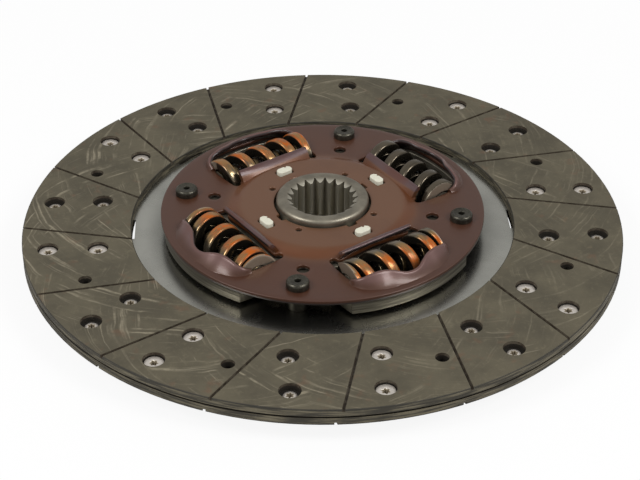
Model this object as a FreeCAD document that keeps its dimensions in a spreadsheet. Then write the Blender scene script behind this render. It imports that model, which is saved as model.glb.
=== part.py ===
import FreeCAD, Part
import math
import os
import Sketcher
from FreeCAD import Placement, Rotation, Vector

# Clutch disc, 250 mm, with a sprung hub.
# The hub's axis is Z, with the retaining plate and the coil springs' high side towards +Z.
# The origin lies on the axis, half way through the cushion plate between the two facings.
# Lengths are in millimetres and angles in degrees.

doc = FreeCAD.newDocument("ClutchDisc")
sheet = doc.addObject("Spreadsheet::Sheet", "Sizes")

# Driving dimensions: name, value, what it is
SIZES = [
    ("spline_teeth", 21, "teeth in the hub"),
    ("spline_major_diameter", 29.6, "foot of the spline's spaces"),
    ("spline_depth", 2.1, "height of the spline's teeth"),
    ("spline_root_width", 1.5, "space at its foot"),
    ("spline_mouth_width", 2.9, "space at the teeth's tips"),
    ("boss_wall", 4.5, "hub boss outside the spline"),
    ("boss_length", 26.55, "hub boss, end to end"),
    ("boss_stand", 2.6, "hub boss above the retaining plate"),
    ("boss_rounding", 1.7, "bevel of the boss's ends"),
    ("hub_gap", 0.9, "retaining plate round the boss"),
    ("scallop_width", 4.4, "notch in the front plate's centre hole"),
    ("scallop_depth", 1.6, "notch outwards from the centre hole"),
    ("index_inset", 3, "small holes, outwards from the centre hole"),
    ("index_turn", 30, "small hole, from the window's middle"),
    ("index_diameter", 2.6, "small hole near the hub"),
    ("stack_setback", 0.6, "friction parts' bore, outwards from the centre hole"),
    ("stack_width", 10.5, "friction parts, bore to rim"),
    ("stack_play", 0.05, "rubbing faces at the hub's flange"),
    ("front_washer_thickness", 1.5, "friction washer with tabs"),
    ("control_thickness", 0.8, "steel control plate"),
    ("cone_height", 0.65, "cone spring as it lies pressed in"),
    ("cone_thickness", 0.4, "cone spring's steel"),
    ("rear_washer_thickness", 1, "rear thrust washer"),
    ("bush_flange", 1.9, "rear bush's thrust flange"),
    ("bush_play", 0.1, "rear bush round the boss"),
    ("bush_wall", 2, "rear bush's sleeve"),
    ("bush_length", 4.4, "rear bush's sleeve beyond its flange"),
    ("tab_inset", 1.16, "friction washer's tab, inwards from its rim"),
    ("tab_length", 7, "tab round the axis"),
    ("tab_width", 4, "tab outwards"),
    ("tab_stand", 0.8, "tab above the retaining plate"),
    ("tab_play", 0.15, "round a tab in its slot"),
    ("plate_thickness", 2, "both plates"),
    ("flange_gap", 0.6, "hub flange to the retaining plate's rim"),
    ("rear_rise", 0.6, "how far the disc plate's middle stands out"),
    ("dish_margin", 2.2, "raised middle's flat, beyond the friction parts"),
    ("dish_slope", 5.5, "width of the slope round the raised middle"),
    ("dish_shift", 0.4, "how much farther out the outer skin bends"),
    ("window_setback", 2.7, "window's inner edge, beyond the raised middle's flat"),
    ("window_angle", 35.43, "first spring window's middle, from +X"),
    ("window_copies", 4, "spring windows, stop pins and springs"),
    ("window_length", 43, "window along the spring"),
    ("window_room", 4.6, "window's outer edge, beyond the spring"),
    ("spring_end_play", 0.2, "spring in its window, both ends together"),
    ("spring_side_play", 1, "spring to the window's inner edge"),
    ("spring_offset", 0.55, "springs' axes above the flange's middle"),
    ("outer_coil_diameter", 19.4, "outer spring"),
    ("outer_wire", 4.5, "outer spring's wire"),
    ("outer_turns", 5.2, "outer spring"),
    ("coil_clearance", 0.4, "inner spring inside the outer one"),
    ("inner_wire", 2.2, "inner spring's wire"),
    ("inner_turns", 9.3, "inner spring"),
    ("coil_start", 210, "where an outer spring's wire starts, round its own axis"),
    ("coil_closed", 0.9, "turns that lie close at each end of a spring"),
    ("coil_close_pitch", 1.02, "climb of a close turn, in wire thicknesses"),
    ("coil_ground", 0.28, "ground off a spring's end, in wire thicknesses"),
    ("relief_diameter", 4, "notch at a window's inner corner"),
    ("relief_sink", 0.8, "notch's middle, inwards from the window's edge"),
    ("relief_inset", 2, "notch's middle, in from the window's end"),
    ("front_lip_rise", 6, "outer window lip above the retaining plate's inner face"),
    ("front_inner_rise", 6.7, "inner window lip above the same face"),
    ("rear_lip_rise", 4.4, "outer window lip beyond the disc plate's inner face"),
    ("rear_inner_rise", 4.2, "inner window lip beyond the same face"),
    ("lip_width", 3, "outer lip's foot, outwards from the window"),
    ("lip_overhang", 1.9, "outer lip's free edge, inwards over the window"),
    ("lip_slant", 1.4, "how far the free edge's underside stands in"),
    ("lip_angle", 36, "outer lip, round the axis"),
    ("dip_depth", 1.6, "dip in the middle of the outer lip"),
    ("dip_curve", 16, "radius of that dip"),
    ("inner_lip_length", 34.4, "inner lip along the spring"),
    ("inner_lip_width", 1.9, "inner lip's foot, inwards from the window"),
    ("inner_lip_overhang", 1.8, "inner lip's free edge, outwards over the window"),
    ("lip_lean", 0.6, "how far the inner lip leans outwards on its way up"),
    ("plate_rim", 6.2, "plates outside their windows"),
    ("pin_margin", 9.24, "stop pins, inwards from the plates' rim"),
    ("pin_diameter", 9.2, "stop pin between the plates"),
    ("pin_shoulder", 1.5, "step from the pin to its neck"),
    ("pin_head_overhang", 1.55, "stop pin's upset heads beyond the neck"),
    ("pin_head_height", 3.15, "stop pin's front head"),
    ("pin_tail_height", 2.2, "stop pin's rear head"),
    ("pin_head_bevel", 0.6, "bevel round the upset heads"),
    ("pin_dimple_diameter", 2.5, "centre dimple of the front head"),
    ("pin_dimple_depth", 1.2, "centre dimple of the front head"),
    ("pin_play", 0.1, "round a pin's neck"),
    ("access_setback", 11.99, "plates' tool holes, inwards from the stop pins"),
    ("access_diameter", 5.2, "tool hole"),
    ("flange_thickness", 5, "hub flange"),
    ("flange_inset", 0.9, "hub flange, inwards from the plates' rim"),
    ("stop_clearance", 1.26, "floor of the flange's notch to the stop pin"),
    ("stop_travel", 10.6, "room for the stop pin's middle, each way"),
    ("stop_corner", 3.2, "bevel at the notch's floor"),
    ("stop_depth", 4.2, "notch's floor to where it opens out"),
    ("stop_flare", 8, "how far the notch's side opens out"),
    ("stop_flare_depth", 6.9, "depth over which it does"),
    ("plate_clearance", 12.6, "plates' rim to the facings"),
    ("facing_width", 45, "facing, bore to rim"),
    ("facing_thickness", 3.25, "one facing"),
    ("facing_edge", 0.3, "bevel round the facing's rims"),
    ("groove_width", 1.2, "dust groove across a facing"),
    ("groove_depth", 1.2, "dust groove below the friction face"),
    ("groove_offset", 28.9, "how far a groove's line passes from the axis"),
    ("groove_turn", -12.76, "a groove's direction from a paddle's middle"),
    ("groove_copies", 16, "grooves on each facing"),
    ("cushion_thickness", 0.8, "spring steel of the cushion plate"),
    ("cushion_inset", 3, "tips of the paddles, inwards from the facings' rim"),
    ("web_inset", 1.4, "foot of the slots between paddles, inwards from the facings"),
    ("paddle_angle", 25.36, "first paddle's middle, from +X"),
    ("paddle_copies", 8, "cushion paddles"),
    ("paddle_gap", 14, "slot between two paddles"),
    ("tongue_margin", 7.16, "cushion plate's tongue, inwards from the stop pin"),
    ("tongue_width", 34, "cushion plate's tongue at a stop pin"),
    ("inner_rivet_inset", 14.55, "inner facing rivets, outwards from the facing's bore"),
    ("inner_rivet_turn", 11.78, "inner rivet, from the paddle's middle"),
    ("outer_rivet_inset", 10.35, "outer facing rivets, inwards from the facing's rim"),
    ("outer_rivet_turn", 13.69, "outer rivet, from the paddle's middle"),
    ("vent_shift", 2.1, "plain hole in each paddle, outwards from the facing's middle"),
    ("vent_diameter", 5.5, "plain hole in each paddle"),
    ("rivet_diameter", 4.4, "facing rivet's shank"),
    ("rivet_wall", 0.95, "hollow facing rivet's wall"),
    ("rivet_grip", 1.2, "facing left under a rivet's head"),
    ("rivet_head_overhang", 1.75, "facing rivet's head beyond its shank"),
    ("rivet_head_height", 0.7, "facing rivet's head"),
    ("rivet_tail_overhang", 0.6, "clinched tail beyond the shank"),
    ("rivet_tail_height", 0.9, "clinched tail of the facing rivet"),
    ("rivet_play", 0.05, "round a shank in its hole"),
    ("well_play", 0.4, "round a rivet's head in its well"),
]

# Sizes worked out from them by the sheet itself, outwards from the hub's axis
DERIVED = [
    ("cushion_half", "cushion_thickness / 2"),
    ("tooth_root", "spline_major_diameter / 2"),
    ("tooth_tip", "tooth_root - spline_depth"),
    ("root_half", "spline_root_width / 2"),
    ("space_half", "spline_mouth_width / 2"),
    ("boss_radius", "tooth_root + boss_wall"),
    ("boss_play_radius", "boss_radius + bush_play"),
    ("bush_radius", "boss_play_radius + bush_wall"),
    ("bush_hole", "bush_radius + bush_play"),
    ("front_hole", "boss_radius + hub_gap"),
    ("dish_mid", "front_hole / 2"),
    ("scallop_reach", "front_hole + scallop_depth"),
    ("scallop_half", "scallop_width / 2"),
    ("index_ring", "front_hole + index_inset"),
    ("index_radius", "index_diameter / 2"),
    ("stack_inner", "front_hole + stack_setback"),
    ("stack_outer", "stack_inner + stack_width"),
    ("tab_half_length", "tab_length / 2"),
    ("tab_half_width", "tab_width / 2"),
    ("tab_ring", "stack_outer - tab_inset - tab_half_width"),
    ("dish_top", "stack_outer + dish_margin"),
    ("dish_foot", "dish_top + dish_slope"),
    ("window_inner", "dish_top + window_setback"),
    ("window_half", "window_length / 2"),
    ("relief_place", "window_inner - relief_sink"),
    ("relief_radius", "relief_diameter / 2"),
    ("inner_lip_foot", "window_inner - inner_lip_width"),
    ("inner_lip_reach", "window_inner + inner_lip_overhang"),
    ("spring_ring", "window_inner + spring_side_play + outer_coil_diameter / 2"),
    ("spring_length", "window_length - spring_end_play"),
    ("inner_coil_diameter", "outer_coil_diameter - 2 * outer_wire - 2 * coil_clearance"),
    ("window_outer", "spring_ring + outer_coil_diameter / 2 + window_room"),
    ("lip_foot", "window_outer + lip_width"),
    ("lip_rim", "window_outer - lip_overhang"),
    ("lip_bend", "plate_thickness / 2"),
    ("lip_bevel", "lip_slant / 2"),
    ("dip_start", "lip_rim - lip_slant - plate_thickness"),
    ("plate_radius", "window_outer + plate_rim"),
    ("pin_turn", "180 / window_copies"),
    ("pin_ring", "plate_radius - pin_margin"),
    ("pin_radius", "pin_diameter / 2"),
    ("pin_neck_radius", "pin_radius - pin_shoulder"),
    ("neck_hole", "pin_neck_radius + pin_play"),
    ("pin_head_radius", "pin_neck_radius + pin_head_overhang"),
    ("pin_head_shy", "pin_head_radius - pin_head_bevel"),
    ("pin_dimple_radius", "pin_dimple_diameter / 2"),
    ("access_ring", "pin_ring - access_setback"),
    ("access_radius", "access_diameter / 2"),
    ("flange_radius", "plate_radius - flange_inset"),
    ("stop_floor", "pin_ring - pin_radius - stop_clearance"),
    ("stop_half", "pin_radius + stop_travel"),
    ("floor_half", "stop_half - stop_corner"),
    ("stop_shoulder", "stop_floor + stop_depth"),
    ("stop_mouth", "stop_shoulder + stop_flare_depth"),
    ("mouth_half", "stop_half + stop_flare"),
    ("facing_bore_radius", "plate_radius + plate_clearance"),
    ("facing_radius", "facing_bore_radius + facing_width"),
    ("web_radius", "facing_bore_radius - web_inset"),
    ("cushion_radius", "facing_radius - cushion_inset"),
    ("paddle_gap_half", "paddle_gap / 2"),
    ("tongue_inset", "pin_ring - tongue_margin"),
    ("tongue_half", "tongue_width / 2"),
    ("groove_half", "groove_width / 2"),
    ("inner_rivet_ring", "facing_bore_radius + inner_rivet_inset"),
    ("outer_rivet_ring", "facing_radius - outer_rivet_inset"),
    ("vent_ring", "facing_bore_radius + facing_width / 2 + vent_shift"),
    ("vent_radius", "vent_diameter / 2"),
    ("shank_radius", "rivet_diameter / 2"),
    ("shank_hole", "shank_radius + rivet_play"),
    ("rivet_hole_radius", "shank_radius - rivet_wall"),
    ("head_radius", "shank_radius + rivet_head_overhang"),
    ("tail_radius", "shank_radius + rivet_tail_overhang"),
    ("rivet_well", "head_radius + well_play"),
    ("rear_face", "0 - cushion_half"),
    ("rear_dish_level", "rear_face - rear_rise"),
    ("bush_top", "rear_dish_level + bush_flange"),
    ("flange_bottom", "bush_top + rear_washer_thickness + stack_play"),
    ("flange_top", "flange_bottom + flange_thickness"),
    ("spring_level", "flange_bottom + flange_thickness / 2 + spring_offset"),
    ("front_face", "flange_top + flange_gap"),
    ("control_level", "flange_top + stack_play"),
    ("control_top", "control_level + control_thickness"),
    ("washer_level", "control_top + cone_height"),
    ("dish_level", "washer_level + front_washer_thickness"),
    ("front_rise", "dish_level - front_face"),
    ("boss_front", "dish_level + plate_thickness + boss_stand"),
    ("boss_rear", "boss_front - boss_length"),
]


def fill_sheet():
    """Write each size and each worked-out size into its own named cell."""
    for row, (name, value, words) in enumerate(SIZES, 1):
        sheet.set("A%d" % row, words)
        sheet.set("B%d" % row, str(value))
        sheet.setAlias("B%d" % row, name)
    doc.recompute()
    for row, (name, text) in enumerate(DERIVED, len(SIZES) + 2):
        sheet.set("A%d" % row, name.replace("_", " "))
        sheet.set("B%d" % row, "=" + text)
        sheet.setAlias("B%d" % row, name)
        doc.recompute()


def is_number(word):
    return word.replace(".", "", 1).isdigit()


def amount(terms):
    """Value of a sum of named sizes, written as words with + and - between them."""
    total, sign = 0.0, 1
    for word in terms.split():
        if word in "+-":
            sign = 1 if word == "+" else -1
        else:
            total += sign * (float(word) if is_number(word) else float(getattr(sheet, word)))
    return total


def formula(terms):
    """The same sum as an expression bound to the sheet's cells."""
    words = [w if w in "+-" or is_number(w) else "Sizes." + w for w in terms.split()]
    text = " ".join(words)
    return "0 " + text if terms[0] in "+-" else text


def negative(terms):
    """The same sum with every sign the other way round."""
    swap = {"+": "-", "-": "+"}
    return " ".join(["-"] + [swap.get(word, word) for word in terms.split()])


def new_body(label, turn=None):
    """An empty body, turned about the hub's axis by a named angle."""
    body = doc.addObject("PartDesign::Body", label)
    body.Label = label
    if turn:
        body.Placement = Placement(Vector(), Rotation(Vector(0, 0, 1), amount(turn)))
        body.setExpression("Placement.Rotation.Angle", formula(turn))
    return body


def new_sketch(body, name, role="XY_Plane", level=None):
    """A sketch on one of the body's own planes, moved along its normal by a named level."""
    sketch = body.newObject("Sketcher::SketchObject", name)
    plane = next(f for f in body.Origin.OriginFeatures if f.Role == role)
    sketch.AttachmentSupport = (plane, [""])
    sketch.MapMode = "FlatFace"
    if level:
        sketch.setExpression("AttachmentOffset.Base.z", formula(level))
    return sketch


def bind(sketch, kind, where, terms):
    """One driving constraint of a sketch, held to a sum of named sizes."""
    index = sketch.addConstraint(Sketcher.Constraint(kind, *where, amount(terms)))
    sketch.setExpression("Constraints[%d]" % index, formula(terms))


def fix_point(sketch, edge, end, x, y):
    bind(sketch, "DistanceX", (-1, 1, edge, end), x)
    bind(sketch, "DistanceY", (-1, 1, edge, end), y)


def polygon(sketch, corners):
    """A closed outline of straight lines through the corners, each held by its x and y."""
    spots = [Vector(amount(x), amount(y), 0) for x, y in corners]
    first = sketch.GeometryCount
    for here, there in zip(spots, spots[1:] + spots[:1]):
        sketch.addGeometry(Part.LineSegment(here, there), False)
    for i, (x, y) in enumerate(corners):
        before = first + (i - 1) % len(corners)
        sketch.addConstraint(Sketcher.Constraint("Coincident", before, 2, first + i, 1))
        fix_point(sketch, first + i, 1, x, y)


def circle(sketch, x, y, radius):
    """A circle held by its middle and its radius."""
    centre = Vector(amount(x), amount(y), 0)
    index = sketch.addGeometry(Part.Circle(centre, Vector(0, 0, 1), amount(radius)), False)
    bind(sketch, "Radius", (index,), radius)
    fix_point(sketch, index, 3, x, y)


def circle_round(sketch, ring, turn, radius):
    """A circle whose middle is given by a named radius and a named angle about the axis."""
    far, angle = amount(ring), math.radians(amount(turn))
    centre = Vector(far * math.cos(angle), far * math.sin(angle), 0)
    index = sketch.addGeometry(Part.Circle(centre, Vector(0, 0, 1), amount(radius)), False)
    bind(sketch, "Radius", (index,), radius)
    for kind, maker, value in (("DistanceX", "cos", centre.x), ("DistanceY", "sin", centre.y)):
        held = sketch.addConstraint(Sketcher.Constraint(kind, -1, 1, index, 3, value))
        text = "Sizes.%s * %s((%s) * 1deg)" % (ring, maker, formula(turn))
        sketch.setExpression("Constraints[%d]" % held, text)


def window_outline(sketch, half="window_half"):
    """A spring window: straight inner edge and ends, and an outer edge round the hub's axis."""
    inner, outer, side = amount("window_inner"), amount("window_outer"), amount(half)
    reach = math.sqrt(outer ** 2 - side ** 2)
    swing = math.asin(side / outer)
    corners = [
        Vector(reach, -side, 0), Vector(inner, -side, 0), Vector(inner, side, 0), Vector(reach, side, 0)
    ]
    low, flat, high = [
        sketch.addGeometry(Part.LineSegment(start, end), False) for start, end in zip(corners, corners[1:])
    ]
    rim = Part.Circle(Vector(), Vector(0, 0, 1), outer)
    arc = sketch.addGeometry(Part.ArcOfCircle(rim, -swing, swing), False)
    joined = ((low, 2, flat, 1), (flat, 2, high, 1), (high, 2, arc, 2), (arc, 1, low, 1), (arc, 3, -1, 1))
    for ends in joined:
        sketch.addConstraint(Sketcher.Constraint("Coincident", *ends))
    for edge in (low, high):
        sketch.addConstraint(Sketcher.Constraint("Horizontal", edge))
    bind(sketch, "Radius", (arc,), "window_outer")
    fix_point(sketch, flat, 1, "window_inner", "- " + half)
    bind(sketch, "DistanceY", (-1, 1, flat, 2), half)
    sketch.addConstraint(Sketcher.Constraint("Vertical", flat))


def finish(feature):
    """Recompute a new feature, so that the next one can build on it."""
    doc.recompute()
    if "Invalid" in feature.State or "Error" in feature.State:
        raise RuntimeError(feature.Label + " failed: " + ", ".join(feature.State))
    return feature


def pad(body, sketch, length, middle=False):
    """Stretch a sketch along its normal, or both ways from its plane."""
    feature = body.newObject("PartDesign::Pad", sketch.Name + "Pad")
    feature.Profile = sketch
    feature.setExpression("Length", formula(length))
    feature.SideType = "Symmetric" if middle else "One side"
    return finish(feature)


def pocket(body, sketch, depth=None, upward=False):
    """Cut a sketch into the body: right through both ways, or to a depth on one side."""
    feature = body.newObject("PartDesign::Pocket", sketch.Name + "Pocket")
    feature.Profile = sketch
    if depth:
        feature.setExpression("Length", formula(depth))
        feature.Reversed = upward
    else:
        feature.Type = "ThroughAll"
        feature.SideType = "Symmetric"
    return finish(feature)


def turned(body, sketch, kind="Revolution", angle=None):
    """Turn a sketch drawn on the XZ plane about the axis, all the way or by a named angle."""
    feature = body.newObject("PartDesign::" + kind, sketch.Name + kind)
    feature.Profile = sketch
    feature.ReferenceAxis = (sketch, ["V_Axis"])
    if angle:
        feature.setExpression("Angle", formula(angle))
        feature.Midplane = True
    else:
        feature.Angle = 360
    return finish(feature)


def spread(body, feature, copies):
    """Repeat a feature evenly round the axis."""
    plane = next(f for f in body.Origin.OriginFeatures if f.Role == "Z_Axis")
    pattern = body.newObject("PartDesign::PolarPattern", feature.Name + "Round")
    pattern.Originals = [feature]
    pattern.Axis = (plane, [""])
    pattern.Angle = 360
    pattern.setExpression("Occurrences", formula(copies))
    body.Tip = pattern
    return finish(pattern)


def facing(label, turned_over):
    """A friction ring with slanted dust grooves, rivet wells and shank holes.

    Both facings are the same part: the rear one is turned over about a paddle's middle line, so
    that its shank holes meet the front one's open wells.
    """
    body = new_body(label)
    edge, top = "facing_edge", "cushion_half + facing_thickness"
    outline = new_sketch(body, label + "Section", "XZ_Plane")
    polygon(outline, [("facing_bore_radius", "cushion_half"), ("facing_radius", "cushion_half"),
                      ("facing_radius", top + " - " + edge), ("facing_radius - " + edge, top),
                      ("facing_bore_radius + " + edge, top), ("facing_bore_radius", top + " - " + edge)])
    turned(body, outline)
    groove = new_sketch(body, label + "Groove", level=top)
    groove.setExpression("AttachmentOffset.Rotation.Angle", "Sizes.groove_turn * 1deg")
    low, high = "groove_offset - groove_half", "groove_offset + groove_half"
    polygon(groove, [("web_radius - facing_bore_radius", low), ("facing_radius + facing_radius", low),
                     ("facing_radius + facing_radius", high), ("web_radius - facing_bore_radius", high)])
    spread(body, pocket(body, groove, "groove_depth"), "groove_copies")
    wells = new_sketch(body, label + "Wells", level="cushion_half + rivet_grip")
    circle_round(wells, "inner_rivet_ring", "- inner_rivet_turn", "rivet_well")
    circle_round(wells, "outer_rivet_ring", "- outer_rivet_turn", "rivet_well")
    spread(body, pocket(body, wells, "facing_thickness", True), "paddle_copies")
    holes = new_sketch(body, label + "Holes")
    for sign, radius in (("-", "shank_hole"), ("+", "rivet_well")):
        circle_round(holes, "inner_rivet_ring", sign + " inner_rivet_turn", radius)
        circle_round(holes, "outer_rivet_ring", sign + " outer_rivet_turn", radius)
    circle_round(holes, "vent_ring", "0", "vent_radius")
    spread(body, pocket(body, holes), "paddle_copies")
    place_facing_part(body, turned_over)
    return body


def place_facing_part(part, turned_over):
    """Line a part up with the first paddle, and turn it over for the rear side."""
    spin = Rotation(Vector(0, 0, 1), amount("paddle_angle"))
    over = Rotation(Vector(1, 0, 0), 180 if turned_over else 0)
    part.Placement = Placement(Vector(), spin.multiply(over))


def cushion_plate():
    """One sheet of spring steel: a web, paddles between the facings and tongues at the stop pins."""
    body = new_body("cushion_plate", "paddle_angle")
    blank = new_sketch(body, "CushionBlank", level="- cushion_half")
    circle(blank, "0", "0", "cushion_radius")
    circle(blank, "0", "0", "window_outer")
    pad(body, blank, "cushion_thickness")
    gap = new_sketch(body, "CushionGap")
    gap.setExpression("AttachmentOffset.Rotation.Angle", "180deg / Sizes.paddle_copies")
    low, high = "- paddle_gap_half", "paddle_gap_half"
    beyond = "cushion_radius + cushion_thickness"
    polygon(gap, [("web_radius", low), (beyond, low), (beyond, high), ("web_radius", high)])
    spread(body, pocket(body, gap), "paddle_copies")
    holes = new_sketch(body, "CushionHoles")
    for sign in "-+":
        circle_round(holes, "inner_rivet_ring", sign + " inner_rivet_turn", "shank_hole")
        circle_round(holes, "outer_rivet_ring", sign + " outer_rivet_turn", "shank_hole")
    circle_round(holes, "vent_ring", "0", "vent_radius")
    spread(body, pocket(body, holes), "paddle_copies")
    tongue = new_sketch(body, "CushionTongue", level="- cushion_half")
    tongue.setExpression("AttachmentOffset.Rotation.Angle",
                         "(Sizes.window_angle + 180 / Sizes.window_copies - Sizes.paddle_angle) * 1deg")
    low, high = "- tongue_half", "tongue_half"
    polygon(tongue, [("tongue_inset", low), ("plate_radius", low), ("plate_radius", high),
                     ("tongue_inset", high)])
    spread(body, pad(body, tongue, "cushion_thickness"), "window_copies")
    necks = new_sketch(body, "CushionNecks")
    necks.setExpression("AttachmentOffset.Rotation.Angle",
                        "(Sizes.window_angle + 180 / Sizes.window_copies - Sizes.paddle_angle) * 1deg")
    circle(necks, "pin_ring", "0", "neck_hole")
    spread(body, pocket(body, necks), "window_copies")
    return body


def pressed_plate(label, face, out, rise, hole, lip_rise, inner_rise):
    """A sheet pressed with a raised middle, four spring windows and a lip along each long edge.

    The outer lips are cones about the hub's axis with a dip half way; the inner ones are straight.
    """
    body = new_body(label, "window_angle")
    skin = "%s %s plate_thickness" % (face, out)
    level = "%s %s %s" % (face, out, rise)
    level_skin = level + " %s plate_thickness" % out
    section = new_sketch(body, label + "Section", "XZ_Plane")
    polygon(section, [(hole, level), ("dish_top", level), ("dish_foot", face), ("plate_radius", face),
                      ("plate_radius", skin), ("dish_foot + dish_shift", skin),
                      ("dish_top + dish_shift", level_skin), (hole, level_skin)])
    turned(body, section)
    opening = new_sketch(body, label + "Window")
    window_outline(opening)
    spread(body, pocket(body, opening), "window_copies")
    rim = "%s %s %s" % (face, out, lip_rise)
    outer = new_sketch(body, label + "OuterLip", "XZ_Plane")
    polygon(outer, [("window_outer", face), ("lip_foot", face), ("lip_foot", skin), ("lip_rim", rim),
                    ("lip_rim - lip_slant", rim + " %s lip_bevel" % ("-" if out == "+" else "+")),
                    ("window_outer", "%s %s lip_bend" % (face, out))])
    spread(body, turned(body, outer, angle="lip_angle"), "window_copies")
    edge = "%s %s %s" % (face, out, inner_rise)
    back = "-" if out == "+" else "+"
    inner = new_sketch(body, label + "InnerLip", "XZ_Plane")
    polygon(inner, [("window_inner", face), ("window_inner + lip_lean", level + " %s lip_bend" % out),
                    ("inner_lip_reach + lip_slant", edge + " %s lip_slant" % back),
                    ("inner_lip_reach", edge), ("inner_lip_foot + lip_lean", level_skin),
                    ("inner_lip_foot", face)])
    spread(body, pad(body, inner, "inner_lip_length", middle=True), "window_copies")
    under = new_sketch(body, label + "Under", "XZ_Plane")
    polygon(under, [("dish_top - plate_thickness", level), ("dish_top", level), ("dish_foot", face),
                    ("dish_foot", "%s %s plate_thickness" % (face, back)),
                    ("dish_top - plate_thickness", "%s %s plate_thickness" % (face, back))])
    turned(body, under, "Groove")
    dip = new_sketch(body, label + "Dip", "YZ_Plane", "dip_start")
    circle(dip, "0", "%s %s dip_depth %s dip_curve" % (rim, back, out), "dip_curve")
    spread(body, pocket(body, dip, "plate_radius - dip_start", True), "window_copies")
    cuts = new_sketch(body, label + "Cuts")
    for side in ("window_half - relief_inset", "- window_half + relief_inset"):
        circle(cuts, "relief_place", side, "relief_radius")
    circle_round(cuts, "pin_ring", "pin_turn", "neck_hole")
    circle_round(cuts, "access_ring", "pin_turn", "access_radius")
    spread(body, pocket(body, cuts), "window_copies")
    return body


def retaining_plate():
    """The front plate, with slots for the friction washer's tabs and scallops in its centre hole."""
    body = pressed_plate("retaining_plate", "front_face", "+", "front_rise", "front_hole",
                         "front_lip_rise", "front_inner_rise")
    slots = new_sketch(body, "TabSlots")
    far, side = "tab_half_width + tab_play", "tab_half_length + tab_play"
    near, less = "tab_half_width - tab_play", "tab_half_length - tab_play"
    polygon(slots, [("tab_ring - " + near, "- " + less), ("tab_ring + " + far, "- " + less),
                    ("tab_ring + " + far, side), ("tab_ring - " + near, side)])
    polygon(slots, [("dish_mid", "- scallop_half"), ("scallop_reach", "- scallop_half"),
                    ("scallop_reach", "scallop_half"), ("dish_mid", "scallop_half")])
    circle_round(slots, "index_ring", "index_turn", "index_radius")
    spread(body, pocket(body, slots), "window_copies")
    return body


def disc_plate():
    """The rear plate that carries the cushion plate."""
    return pressed_plate("disc_plate", "rear_face", "-", "rear_rise", "bush_hole",
                         "rear_lip_rise", "rear_inner_rise")


def hub():
    """Splined boss and flange, forged in one, with spring windows and open notches for the stop pins."""
    body = new_body("hub", "window_angle")
    section = new_sketch(body, "HubSection", "XZ_Plane")
    shy = "boss_radius - boss_rounding"
    polygon(section, [("tooth_tip", "boss_rear"), (shy, "boss_rear"),
                      ("boss_radius", "boss_rear + boss_rounding"), ("boss_radius", "flange_bottom"),
                      ("flange_radius", "flange_bottom"), ("flange_radius", "flange_top"),
                      ("boss_radius", "flange_top"), ("boss_radius", "boss_front - boss_rounding"),
                      (shy, "boss_front"), ("tooth_tip", "boss_front")])
    turned(body, section)
    opening = new_sketch(body, "HubWindow")
    window_outline(opening)
    spread(body, pocket(body, opening), "window_copies")
    notch = new_sketch(body, "HubNotch")
    notch.setExpression("AttachmentOffset.Rotation.Angle", "180deg / Sizes.window_copies")
    sides = [("stop_floor", "floor_half"), ("stop_floor + stop_corner", "stop_half"),
             ("stop_shoulder", "stop_half"), ("stop_mouth", "mouth_half"),
             ("flange_radius + stop_corner", "mouth_half + flange_radius - stop_mouth + stop_corner")]
    polygon(notch, sides + [(x, negative(y)) for x, y in reversed(sides)])
    spread(body, pocket(body, notch), "window_copies")
    space = new_sketch(body, "SplineSpace")
    inside = "tooth_tip - root_half"
    polygon(space, [("tooth_root", "- root_half"), ("tooth_root", "root_half"), ("tooth_tip", "space_half"),
                    (inside, "space_half"), (inside, "- space_half"), ("tooth_tip", "- space_half")])
    spread(body, pocket(body, space), "spline_teeth")
    return body


def stop_pin(number):
    """A shouldered pin upset at both ends, which holds the plates apart and stops the hub's flange."""
    body = new_body("stop_pin_%d" % number)
    section = new_sketch(body, "Pin%dSection" % number, "XZ_Plane")
    tail = "rear_face - plate_thickness"
    top = "front_face + plate_thickness"
    crown = top + " + pin_head_height"
    polygon(section, [("0", tail + " - pin_tail_height"), ("pin_head_shy", tail + " - pin_tail_height"),
                      ("pin_head_radius", tail + " - pin_tail_height + pin_head_bevel"),
                      ("pin_head_radius", tail), ("pin_neck_radius", tail),
                      ("pin_neck_radius", "cushion_half"), ("pin_radius", "cushion_half"),
                      ("pin_radius", "front_face"), ("pin_neck_radius", "front_face"),
                      ("pin_neck_radius", top), ("pin_head_radius", top),
                      ("pin_head_radius", crown + " - pin_head_bevel"), ("pin_head_shy", crown),
                      ("pin_dimple_radius", crown), ("pin_dimple_radius", crown + " - pin_dimple_depth"),
                      ("0", crown + " - pin_dimple_depth")])
    turned(body, section)
    angle = "(Sizes.window_angle + (%d - 0.5) * 360 / Sizes.window_copies) * 1deg" % number
    body.setExpression("Placement.Base.x", "Sizes.pin_ring * cos(%s)" % angle)
    body.setExpression("Placement.Base.y", "Sizes.pin_ring * sin(%s)" % angle)
    return body


def ring_of_washer(label, corners):
    """A ring turned about the hub's axis from its section."""
    body = new_body(label, "window_angle")
    section = new_sketch(body, label + "Section", "XZ_Plane")
    polygon(section, corners)
    turned(body, section)
    return body


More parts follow.
